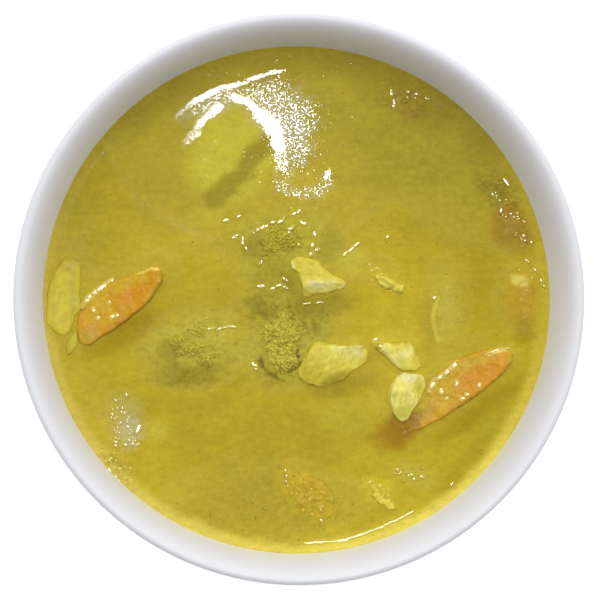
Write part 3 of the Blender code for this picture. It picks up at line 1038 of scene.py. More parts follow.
@dataclass(frozen=True)
class SauceColours:
    """Where the sauce takes which tint: over what lies sunk in it, beside the pieces, and at its edge, with
    painted shadows beside pieces, painted light and shade at the edge, and painted sheen of the window.

    A row of patches has a colour, a strength, and the values of a Spot or a Streak in their own order.
    """

    main: Colour = (0.518, 0.40, 0.024)
    patches: tuple[Mark, ...] = stains_and_shading(
        # broad tones: darker at the far side and the edges, lighter right of the middle
        ((0.40, 0.322, 0.018), 0.8, 40, 48, 34, 24, -30, 0.6),
        ((0.43, 0.33, 0.018), 0.6, -38, 42, 22, 16, 40, 0.6),
        ((0.60, 0.46, 0.026), 0.9, 29, -6, 20, 18, 0, 0.8),
        ((0.46, 0.35, 0.018), 0.7, 52, 2, 9, 16, 0, 0.8),
        ((0.47, 0.365, 0.022), 0.6, -13, -45, 22, 9, 0, 0.8),
        ((0.43, 0.345, 0.032), 0.7, -64, 20, 7, 13, 15, 0.8),
        ((0.40, 0.335, 0.024), 0.6, -13.0, 54.0, 24, 13, 10, 0.4),
        # the mound, painted shade in its groove, and painted sheen of the window round it
        ((0.60, 0.52, 0.038), 0.95, -19.5, 42, 12, 15, -20, 0.35, 0.1),
        # painted shade: the groove's shaded slope
        ((0.37, 0.285, 0.014), 0.9, (-10.5, 44.5, -17.0, 35.5, -25.0, 28.5), 4.5),
        (PAINTED_SHEEN, 0.2, -5.5, 54.8, 9.5, 7.0, -30, 0.3, 0.8, 1.5),
        (PAINTED_SHEEN, 0.22, -1.0, 47.0, 5.0, 9.0, 0, 0.3, 0.8, 1.5),
        (PAINTED_SHEEN, 0.2, -25.0, 56.0, 9.5, 3.0, 25, 0.3, 0.8, 1.5),
        (PAINTED_SHEEN, 0.12, (-5.5, 35.0, -4.5, 31.5, 1.5, 31.0, 6.7, 31.2, 8.0, 34.5), 2.6, 0.8),
        # the upper broccoli
        (OLIVE, 0.9, -4.0, 16.0, 15, 11, 5, 0.4, 0.5),
        ((0.38, 0.31, 0.026), 0.8, -12.5, 15.5, 4.5, 3.0, 50, 0.5, 0.6),
        ((0.40, 0.33, 0.024), 0.7, 9.5, 15.0, 4.0, 4.0, 60, 0.5, 0.6),
        ((0.42, 0.345, 0.024), 0.7, -9.0, 8.0, 5, 4, 60, 0.5, 0.6),
        # the broccoli in the middle; the darkest patches, along its lower edge, are painted shadow
        ((0.44, 0.365, 0.026), 0.9, -3.0, -6.0, 12, 6.5, -8, 0.4, 0.7, 4.0),
        ((0.31, 0.25, 0.015), 0.7, -11.0, -3.0, 4.5, 2.0, -25, 0.5, 0.6, 3.0),
        ((0.30, 0.24, 0.013), 0.8, 3.0, -8.5, 4.5, 1.6, -15, 0.5, 0.6, 3.0),
        ((0.52, 0.445, 0.042), 0.9, -4.5, -15.0, 12, 9.5, 0, 0.3, 0.5, 4.0),
        ((0.17, 0.12, 0.003), 0.8, -10.8, -18.4, 2.2, 0.8, -65, 0.3, 0.9, 1.2),
        ((0.19, 0.135, 0.003), 0.7, -7.6, -22.0, 2.6, 0.7, -25, 0.3, 0.9, 1.2),
        ((0.18, 0.13, 0.003), 0.8, -1.8, -20.0, 2.8, 0.8, 35, 0.3, 0.9, 1.2),
        ((0.16, 0.12, 0.003), 0.9, -0.6, -16.0, 0.7, 2.0, -10, 0.3, 0.7, 1.4),
        # the broccoli on the left, with painted shadow along its lower side
        ((0.56, 0.475, 0.046), 0.9, -29.5, -13.5, 14, 9, 0, 0.4, 0.5, 4.0),
        ((0.37, 0.295, 0.018), 0.7, -37.5, -15.0, 3.0, 3.5, 0, 0.5, 0.7, 3.0),
        ((0.365, 0.28, 0.017), 0.8, -31.0, -22.0, 11, 3.5, -3, 0.6, 0.6, 4.0),
        # sunk pieces, and painted shadows beside the chicken
        (LEMON, 0.75, 15.0, 11.0, 4.5, 4.0, 0, 0.6),
        ((0.55, 0.45, 0.035), 0.8, 13.3, -33.5, 8, 5.5),
        (PAINTED_SHADOW, 0.8, 14.0, -25.2, 9, 2.6, 12, 0.7),
        ((0.34, 0.265, 0.015), 0.8, 6.0, -1.5, 10, 2.6, 8, 0.7),
        ((0.33, 0.27, 0.018), 0.7, -2.6, 4.2, 2.0, 5.0, 25, 0.6),
        # the sunk end of a carrot, and painted shadows below the carrots
        (RUST, 0.9, 28.5, -37.5, 8, 4.5, 30, 0.5, 0.5),
        ((0.40, 0.275, 0.013), 0.8, 51.0, -33.5, 14, 2.8, 34, 0.7),
        ((0.42, 0.285, 0.013), 0.85, -49.5, -10.0, 13, 3.0, 33, 0.7),
        # the courgette on the right, with a painted highlight along its edge
        ((0.55, 0.45, 0.034), 0.7, 42.5, -3.0, 4.8, 13, 3, 0.35, 0.05),
        ((0.45, 0.345, 0.017), 0.7, 37.5, -7.0, 2.5, 9, 3, 0.7),
        # painted highlight: the pale line along the courgette's edge
        ((0.72, 0.60, 0.07), 0.7, (40.6, 0.5, 39.6, -2.0, 39.0, -5.5, 39.5, -9.0, 40.4, -11.8), 0.8),
        # the right edge, with its pepper and carrot
        ((0.38, 0.235, 0.013), 0.9, 62.5, 21.0, 6.5, 8.5, 35, 0.4, 0.4),
        ((0.33, 0.27, 0.016), 0.8, 56.5, 31.5, 5.0, 3.5, -45, 0.6, 0.6),
        ((0.52, 0.335, 0.014), 0.95, 65.5, -1.0, 5.0, 8.5, 0, 0.5, 0.5, 3.0),
        ((0.74, 0.64, 0.12), 0.8, 64.3, 5.4, 2.6, 1.8, -20, 0.4, 0.5, 1.5),
        ((0.40, 0.29, 0.014), 0.6, 66.0, -9.5, 3, 4, 0, 0.6, 0.4),
        # the near edge, with its carrot
        ((0.70, 0.46, 0.024), 0.95, 3.0, -57.0, 9, 5.0, -45, 0.5, 0.7, 2.0),
        ((0.455, 0.35, 0.020), 0.7, -8.0, -60.0, 20, 8, 0, 0.6),
        # the far edge, with its pepper
        ((0.42, 0.285, 0.026), 0.95, 31.0, 57.5, 6.5, 4.0, -30, 0.5, 0.5),
        ((0.36, 0.26, 0.014), 0.6, 37.0, 53.0, 6, 4, -30, 0.6, 0.4),
        # sunk bits, painted sheen of the window, and a golden band of thin sauce with painted light on the
        # left
        ((0.54, 0.45, 0.03), 0.6, -28.0, 23.0, 5, 3),
        ((0.59, 0.50, 0.045), 0.8, -41.0, -38.0, 3.8, 3),
        (PAINTED_SHEEN, 0.16, -51.0, -35.5, 5.5, 7, 0, 0.6),
        (PAINTED_SHEEN, 0.25, -49.5, -38.5, 4.0, 4, 30, 0.3, 0.8, 1.2),
        (GOLD_WALL_GLOW, 0.8, -61.0, -31.0, 7, 22, 25, 0.6),
        # the shred, and foam and films at the near edge
        ((0.66, 0.52, 0.035), 0.85, 23.0, -55.5, 6.5, 3.5, -45, 0.5, 0.6, 2.5),
        ((0.54, 0.46, 0.06), 0.7, 33.0, -51.0, 6, 3, -15, 0.6, 0.5),
        ((0.42, 0.35, 0.022), 0.6, 56.0, -38.0, 9, 4, 45, 0.6, 0.5),
        ((0.45, 0.33, 0.016), 0.7, 47.0, -50.5, 12, 4, 45, 0.6, 0.3),
        ((0.42, 0.34, 0.02), 0.6, -55.0, -50.0, 5, 4, -45, 0.6, 0.6, 2.0),
    )
    # painted shade along the far wall; along the near walls thin sauce over white porcelain, brightened by
    # painted light from the lit wall
    edge_shading: tuple[EdgeShading, ...] = (
        EdgeShading(90.0, 80.0, 12.0, (0.29, 0.225, 0.012), 0.75),
        EdgeShading(285.0, 80.0, 4.5, (0.79, 0.66, 0.085), 0.95),
        EdgeShading(215.0, 60.0, 4.0, (0.66, 0.53, 0.08), 0.7),
        EdgeShading(0.0, 45.0, 4.0, (0.58, 0.45, 0.025), 0.6),
    )
    grits: tuple[Mark, ...] = shares(
        (0.50, -3.0, -6.0, 14, 8, -8),
        (0.40, -5.0, -16.5, 11, 9, 0, 0.3),
        (0.25, -4.0, 15.0, 16, 12),
        (0.30, -30.0, -14.0, 15, 10),
        (0.40, -31.0, -22.0, 12, 4),
        (0.50, 58.0, 31.0, 8, 5, -45),
        (0.45, -54.0, -50.0, 8, 5, -45),
        (0.17, -10.0, -58.0, 28, 12, 0, 0.7),
        (0.35, 30.0, 57.0, 8, 6, -30),
        (0.15, 40.0, 38.0, 24, 14, -45, 0.8),
    )

    def tint(self, points: Array, room: Array) -> Array:
        """The tint at each point.

        Args:
            points: An (n, 3) array of places.
            room: Each point's distance to the wall.

        Returns:
            An (n, 3) array of colours.
        """
        place = flat(points)
        broad = layered_noise(place * (0.7, 1.0, 1.0), 16.0, 4, seed=21)
        middle = layered_noise(place * (0.6, 1.0, 1.0), 5.0, 3, seed=23)
        uneven = 1.0 + 0.12 * broad[:, None] + 0.07 * middle[:, None]
        colours = stained_and_shaded(self.main, self.patches, points, uneven)
        for edge in self.edge_shading:
            colours = mixed(colours, edge.cover(points, room), edge.colour)
        return np.clip(colours, 0.004, 1.0)


# ---------------------------------------------------------------- the sauce's surface


@dataclass
class Curry:
    """The sauce: its level, the menisci at the wall and round each piece, its swells and its skin.

    The strengths of the swells, of the mound and of its groove are heights in millimetres. The skin is dull
    in the dulls, but for the shines among them.
    """

    bowl: Bowl
    colours: SauceColours = SauceColours()
    level: float = LEVEL * MM
    wall_rise: float = 0.7 * MM
    wall_reach: float = 1.0 * MM
    calm_edge: Pair = (1.5 * MM, 3.5 * MM)
    lumps: float = 0.45 * MM
    lump_size: float = 1.9
    piece_rise: float = 0.4 * MM
    piece_reach: float = 0.8 * MM
    film: float = 0.04 * MM
    film_ends: float = 0.12 * MM
    climb: float = 0.5 * MM
    wave: float = 0.04 * MM
    wave_size: float = 13.0
    cells: int = 296
    side_steps: int = 8
    bite: float = 0.12 * MM
    mound: Mark = Mark(Spot(-20.0, 41.5, 13.5, 16.0, -20.0, 0.5, 0.04), 0.10)
    groove: Mark = Mark(Streak((-9.5, 45.5, -17.0, 35.5, -26.0, 27.5), 6.0, 0.0), 0.10)
    swells: tuple[Mark, ...] = shares(
        (0.25, 14.8, -33.0, 9, 7, 0, 0.5, 0.0),
        (0.5, -5.0, 15.2, 13, 10, 0, 0.5, 0.0),
        (0.35, -29.5, -13.6, 13, 9, 0, 0.5, 0.0),
        (0.3, -50.5, -37.0, 6, 7, 20),
    )
    dulls: tuple[Mark, ...] = shares(
        (1.0, -10.0, 50.0, 46, 34, 0, 0.08, 0.0),
        (1.0, 9.0, -18.5, 13, 9, 0, 0.2, 0.0),
        (1.0, 5.0, 6.0, 11, 9, -20, 0.2, 0.0),
        (1.0, 15.0, 11.0, 6, 6, 0, 0.2, 0.0),
        (1.0, 23.0, 8.5, 6, 5, 0, 0.2, 0.0),
        (1.0, -66.5, 2.0, 9, 17, 0, 0.15, 0.0),
        (0.85, -30.0, -14.0, 15, 11, 0, 0.2, 0.0),
        (0.8, -4.0, -12.0, 13, 16, 0, 0.2, 0.0),
        (0.8, -5.0, 15.0, 14, 12, 0, 0.2, 0.0),
        (1.0, 29.0, -22.0, 9.5, 14, 0, 0.12, 0.0),
        (1.0, -37.5, 9.0, 4.5, 4.5, 0, 0.2, 0.0),
        (1.0, 43.0, -2.0, 8, 16, 0, 0.15, 0.0),
        (0.8, 32.0, 57.0, 9, 7, -30, 0.3, 0.0),
        (0.8, 62.0, 22.0, 9, 10, 0, 0.3, 0.0),
        (0.9, 64.0, 1.0, 8, 11, 0, 0.2, 0.0),
        (1.0, (31.5, -28.0, 35.5, -23.0, 41.0, -18.5, 47.0, -15.0, 53.0, -12.5), 4.5, 0.0),
        (1.0, (-62.0, 1.0, -57.0, 5.5, -50.0, 9.0, -40.0, 11.5), 4.5, 0.0),
    )
    shines: tuple[Mark, ...] = shares(
        (0.95, (-35.0, 53.0, -30.0, 57.0, -22.8, 60.9, -15.0, 62.6), 1.1, 0.4),
        (0.9, (-14.5, 63.4, -9.0, 65.2, -4.0, 66.4), 0.85, 0.4),
        (0.8, (-28.2, 50.5, -27.0, 52.4, -23.4, 55.4), 1.8, 0.5),
        (0.47, (-32.8, 45.0, -31.2, 47.0, -29.4, 48.6), 2.0, 0.5),
        (1.0, (-18.8, 58.4, -15.3, 57.3, -11.0, 53.6), 1.8),
        (1.0, (-11.0, 53.4, -8.0, 50.8, -6.2, 47.5, -5.6, 44.8), 3.4, 0.25),
        (0.58, (-5.6, 44.5, -5.4, 41.0, -4.3, 37.6), 3.0),
        (0.39, -5.5, 54.5, 10.5, 8.0, -30, 0.5, 0.5),
        (0.365, -1.5, 46.5, 6.0, 10.0, 0, 0.5, 0.5),
        (0.38, -24.0, 57.2, 10.0, 2.6, 25),
        (0.35, -50.0, -37.0, 5.0, 6.5, 20, 0.5, 0.5),
        (1.0, 8.2, 36.0, 0.8, 1.8, -25, 0.4, 0.1),
        (0.33, (-5.5, 33.2, -3.2, 30.6, 1.5, 30.8, 6.7, 30.9, 8.5, 34.5), 2.4),
    )

    def room(self, points: Array) -> Array:
        """Each point's distance to the wall at the sauce's level."""
        return self.bowl.inner_radius(self.level) - np.hypot(points[:, 0], points[:, 1])

    def surface(self, points: Array) -> Array:
        """The surface's height at each point, before any piece lifts it."""
        room = np.maximum(self.room(points), 0.0)
        found = self.level + self.wall_rise * np.exp(-room / self.wall_reach)
        found += self.wave * layered_noise(flat(points), self.wave_size, 2, seed=31)
        inside = ramp(room, 0.0, 2.0 * MM)
        for swell in self.swells:
            found += inside * (swell.strength * MM * np.exp(-1.6 * swell.where.reach(points) ** 2))
        lumps = layered_noise(flat(points), self.lump_size, 2, seed=37)
        found += inside * self.lumps * (strongest(self.colours.grits, points) * lumps)
        groove = self.groove.cover(points) * self.mound.where.cover(points)
        return found + inside * ((self.mound.cover(points) - groove) * MM)

    def disc(self) -> Array:
        """The places of a square grid drawn out to fill the bowl's round inside, in rows."""
        edge = self.bowl.inner_radius(self.level + self.wall_rise) + self.bite
        line = np.linspace(-1.0, 1.0, self.cells + 1)
        u, v = np.meshgrid(line, line)
        x, y = u * np.sqrt(1.0 - v * v / 2.0), v * np.sqrt(1.0 - u * u / 2.0)
        return np.column_stack((x.ravel() * edge, y.ravel() * edge, np.zeros(u.size)))

    def lifted(self, points: Array, food: BVHTree) -> Array:
        """The heights with the menisci and the films that climb the pieces of food.

        Args:
            points: The surface's points, at their heights.
            food: The pieces' faces.

        Returns:
            The new heights: a film over what barely shows, and below what stands out.
        """
        heights = points[:, 2].copy()
        for k, (x, y, z) in enumerate(points):
            near, _, _, distance = food.find_nearest(Vector((x, y, z)), 4.0 * MM)
            if near is None:
                continue
            climbed = self.piece_rise * math.exp(-distance / self.piece_reach)
            over = food.ray_cast(Vector((x, y, self.level + 20.0 * MM)), DOWN)[0]
            if over is not None and over.z > z - self.film:
                out = over.z - z
                sink = min(max((out - self.film_ends) / self.film_ends, 0.0), 1.0)
                climbed = min(out + self.film - sink * (self.film_ends + self.film), self.climb)
            heights[k] = z + climbed
        return heights

    def build(self, food: BVHTree, material: Material) -> Piece:
        """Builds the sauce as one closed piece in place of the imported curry.

        Args:
            food: The faces of the pieces that stand in it.
            material: Its finish.

        Returns:
            The piece.
        """
        across = self.cells + 1
        top = self.disc()
        top[:, 2] = self.surface(top)
        top[:, 2] = self.lifted(top, food)
        index = np.arange(across * across).reshape(across, across)
        cells = (index[:-1, :-1], index[:-1, 1:], index[1:, 1:], index[1:, :-1])
        faces = np.stack(cells, axis=-1).reshape(-1, 4).tolist()
        border = np.concatenate((index[0, :-1], index[:-1, -1], index[-1, :0:-1], index[:0:-1, 0]))
        floor = self.bowl.inner_floor - self.bite
        rim = top[border]
        rings, points = [border], [top]
        count = len(top)
        for step in range(1, self.side_steps + 1):
            angle = 0.5 * math.pi * step / (self.side_steps + 1)
            height = floor + (rim[:, 2] - floor) * math.cos(angle)
            radius = self.bowl.inner_radius(height) + self.bite
            scale = radius / np.hypot(rim[:, 0], rim[:, 1])
            points.append(np.column_stack((rim[:, 0] * scale, rim[:, 1] * scale, height)))
            rings.append(np.arange(count, count + len(border)))
            count += len(border)
        for upper, lower in zip(rings, rings[1:]):
            corners = (upper, lower, np.roll(lower, -1), np.roll(upper, -1))
            faces += np.stack(corners, axis=-1).tolist()
        points.append(np.array([[0.0, 0.0, floor]]))
        faces += [[int(a), count, int(b)] for a, b in zip(rings[-1], np.roll(rings[-1], -1))]
        mesh = bpy.data.meshes.new("sauce")
        mesh.from_pydata(np.vstack(points).tolist(), [], faces)
        mesh.shade_smooth()
        face_outwards(wear(mesh, material))
        self.paint(mesh)
        return add_piece("curry_sauce", mesh, "curry_sauce", "curry")

    def paint(self, mesh: Mesh) -> None:
        """Gives a mesh the sauce's tint, grit and shine at each of its vertices."""
        points = points_of(mesh)
        grit = strongest(self.colours.grits, points)
        paint_colour(mesh, "tint", self.colours.tint(points, self.room(points)))
        paint(mesh, "grit", grit)
        calm = (1.0 - ramp(grit, 0.02, 0.12)) * (1.0 - strongest(self.dulls, points))
        shine = np.maximum(calm, strongest(self.shines, points))
        paint(mesh, "shine", shine * ramp(self.room(points), *self.calm_edge))


# ---------------------------------------------------------------- pieces of food


@dataclass(frozen=True)
class Cut:
    """A torn face: a plane through a place on the piece, at a height over the level, that falls one way."""

    x: float
    y: float
    over: float
    fall: float
    towards: float

    def trim(self, points: Array) -> None:
        """Brings down the points that stand above the plane."""
        turn = math.radians(self.towards)
        along = (points[:, 0] / MM - self.x) * math.cos(turn) + (points[:, 1] / MM - self.y) * math.sin(turn)
        top = (LEVEL + self.over - self.fall * along) * MM
        points[:, 2] = np.minimum(points[:, 2], np.maximum(top, (LEVEL - 0.6) * MM))


@dataclass(frozen=True)
class Pull:
    """A place on the piece that is drawn out by a shift, over a reach, all in millimetres."""

    x: float
    y: float
    reach: float
    shift: Triple

    def move(self, points: Array) -> None:
        """Draws the points near the place along."""
        away = np.hypot(points[:, 0] / MM - self.x, points[:, 1] / MM - self.y) / self.reach
        points += np.exp(-away * away)[:, None] * np.array(self.shift) * MM


@dataclass
class Food:
    """A piece of food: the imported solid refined, roughened as the real one is, and coated with sauce.

    A stretch below 1 draws its fine roughness out along the grain of its flesh.
    """

    node: str
    slot: str
    flesh: Flesh
    cover: float
    clear: float
    tone: Colour
    lift: float = 0.0
    voxel: float = 0.38 * MM
    smoothing: int = 3
    lump: float = 0.25
    lump_size: float = 3.0
    rough: float = 0.10
    rough_size: float = 0.9
    stretch: float = 1.0
    wet: float = 0.05
    marks: tuple[Mark, ...] = ()
    veils: tuple[Mark, ...] = ()
    cuts: tuple[Cut, ...] = ()
    pulls: tuple[Pull, ...] = ()
    ending: str = "_piece"

    def shape(self) -> Mesh:
        """The refined mesh with its lumps and its finer roughness."""
        mesh = remeshed(welded_copy(self.node), self.voxel, self.smoothing)
        points = points_of(mesh)
        for pull in self.pulls:
            pull.move(points)
        for cut in self.cuts:
            cut.trim(points)
        set_points(mesh, points)
        turn = math.radians(self.flesh.turn if self.stretch < 1.0 else 0.0)
        c, s = math.cos(turn), math.sin(turn)
        turned = points @ np.array(((c, -s, 0.0), (s, c, 0.0), (0.0, 0.0, 1.0))) / MM
        seed = sum(map(ord, self.node))
        push = self.lump * layered_noise(turned, self.lump_size, 2, seed)
        push += self.rough * layered_noise(turned * (self.stretch, 1.0, 1.0), self.rough_size, 3, seed + 7)
        points = points + vectors(mesh.vertex_normals, "vector") * push[:, None] * MM
        points[:, 2] += self.lift * MM * ramp(points[:, 2], 47.0 * MM, 51.0 * MM)
        set_points(mesh, points)
        return mesh

    def solid(self, curry: Curry, material: Material) -> Mesh:
        """The mesh in its material, which some kinds fit to the sauce's surface."""
        return wear(self.shape(), material)

    def tones(self, points: Array) -> Array:
        """The flesh's colour at each point, with its marks laid over: stains, and painted highlights and
        shade.
        """
        return stained_and_shaded(self.tone, self.marks, points)

    def build(self, curry: Curry, effects: Effects) -> Piece:
        """Builds the piece, under its coat of sauce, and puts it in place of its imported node.

        Args:
            curry: The sauce that it lies in.
            effects: The shared shader groups.

        Returns:
            The piece.
        """
        mesh = self.solid(curry, self.flesh.make(effects))
        points = points_of(mesh)
        curry.paint(mesh)
        above = (points[:, 2] - curry.surface(points)) / MM
        broken = layered_noise(points / MM, 1.6, 3, seed=41)
        thin = ramp(above + 0.35 * broken, self.wet, self.wet + self.clear)
        veil = np.maximum(self.cover, strongest(self.veils, points))
        paint(mesh, "coat", 1.0 - (1.0 - veil) * thin)
        # the flesh colour holds the marks, among them painted highlights and painted shade
        paint_colour(mesh, "flesh", self.tones(points))
        mesh.shade_smooth()
        return add_piece(self.node + self.ending, mesh, self.slot, self.node)


@dataclass
class Broccoli(Food):
    """A broccoli head: its core closely set with round buds."""

    voxel: float = 0.5 * MM
    lump: float = 1.0
    ending: str = "_head"
    bud: float = 0.46 * MM
    spacing: float = 0.52 * MM
    # painted shade between the buds
    crevice_shade: Colour = (0.26, 0.20, 0.006)
    core: BVHTree | None = field(default=None, init=False)

    @staticmethod
    def bud_tree() -> GeometryTree:
        """A tree that sets small balls on a mesh where its density says, and keeps the mesh."""
        tree = GeometryTree("buds")
        spacing, size = tree.numbers(Spacing=0.6 * MM, Size=0.4 * MM)
        seed = tree.take("Seed", Sockets.COUNT, 3)
        inputs = {"Distance Min": spacing, "Density Max": 6.0e6, "Density Factor": tree.named("density")}
        points, turn = tree.strewn("POISSON", seed, inputs)
        ball = tree.ball(8, 5, size)
        joined = tree.add("GeometryNodeJoinGeometry")
        for part in (tree.copies(points, ball, turn, tree.between(0.3, 1.45, seed)), tree.source):
            tree.tree.links.new(part, joined.inputs[0])
        return tree.finish(joined.outputs[0])

    def solid(self, curry: Curry, material: Material) -> Mesh:
        """The core and its buds in their material."""
        core = self.shape()
        points = points_of(core)
        shown = ramp(points[:, 2] - curry.surface(points), -1.2 * MM, -0.6 * MM)
        paint(core, "density", shown * ramp(vectors(core.vertex_normals, "vector")[:, 2], 0.1, 0.4))
        self.core = faces_of([core])
        seed = sum(map(ord, self.node))
        return self.bud_tree().run(core, material, Spacing=self.spacing, Size=self.bud, Seed=seed)

    def tones(self, points: Array) -> Array:
        """The buds' colour at each point, with painted shade in clumps where a point lies deep between them.
        """
        over = np.array([self.core.find_nearest(point)[3] for point in points])
        deep_shade = 1.0 - ramp(over, 0.0, 0.6 * self.bud)
        clumps = 0.35 + 0.65 * ramp(layered_noise(points / MM, 2.6, 2, seed=47), -0.1, 0.35)
        return mixed(super().tones(points), 0.5 * deep_shade * clumps, self.crevice_shade)


ORANGE = (0.68, 0.36, 0.008)
DEEP_ORANGE = (0.68, 0.305, 0.004)
# orange of a sunk end, and painted shade on the carrots' lower sides
SUNK_AND_SHADED_ORANGE = (0.50, 0.27, 0.008)
AMBER = (0.64, 0.43, 0.014)
CHICKEN = (0.78, 0.66, 0.065)
# paler torn meat, and painted sheen and highlights on the chicken
WHITE_MEAT_AND_SHEEN = (0.93, 0.84, 0.26)
BUTTER = (0.87, 0.77, 0.13)
GREEN = (0.66, 0.55, 0.038)
PALE_GREEN = (0.70, 0.60, 0.055)
BROCCOLI = (0.68, 0.585, 0.065)


def title(node: str) -> str:
    """The name of a node's material: its words, less the side where a height follows it."""
    return node.replace("_right_", "_").replace("_", " ")


def carrot(node: str, turn: float, cover: float, clear: float, **settings: object) -> Food:
    """A piece of cooked carrot whose grain runs along a direction."""
    flesh = Flesh(title(node), Grain.CELLS, (0.58, 0.27, 0.005), turn, size=0.8 * MM, relief=0.16 * MM)
    return Food(node, "carrot", flesh, cover, clear, **{"tone": ORANGE, **settings})


def chicken(node: str, turn: float, cover: float, clear: float, **settings: object) -> Food:
    """A piece of cooked chicken whose fibres run along a direction."""
    flesh = Flesh(title(node), Grain.FIBRES, (0.62, 0.51, 0.035), turn, 0.5, contrast=0.4, relief=0.16 * MM)
    usual = {"tone": CHICKEN, "voxel": 0.3 * MM, "smoothing": 1}
    return Food(node, "chicken", flesh, cover, clear, **{**usual, **settings})


def green(node: str, turn: float, cover: float, clear: float, **settings: object) -> Food:
    """A piece of cooked courgette or onion whose bands run along a direction."""
    dark, relief = (0.50, 0.42, 0.035), 0.04 * MM
    flesh = Flesh(title(node), Grain.FIBRES, dark, turn, relief=relief, contrast=0.25, size=1.4 * MM)
    return Food(node, "courgette", flesh, cover, clear, **{"tone": GREEN, "lump": 0.1, **settings})


def pepper(node: str, cover: float, clear: float, **settings: object) -> Food:
    """A piece of cooked pepper with its soft skin."""
    flesh = Flesh(title(node), Grain.CELLS, (0.26, 0.125, 0.004), roughness=0.6)
    return Food(node, "pepper", flesh, cover, clear, lump=0.35, lump_size=2.2, rough=0.2, **settings)


def broccoli(node: str, cover: float, clear: float, **settings: object) -> Food:
    """A cooked head of broccoli."""
    dark, glow = (0.26, 0.205, 0.012), 0.05
    flesh = Flesh(title(node), Grain.BUDS, dark, roughness=0.5, contrast=0.4, glow=glow, size=0.7 * MM)
    return Broccoli(node, "broccoli", flesh, cover, clear, BROCCOLI, **settings)


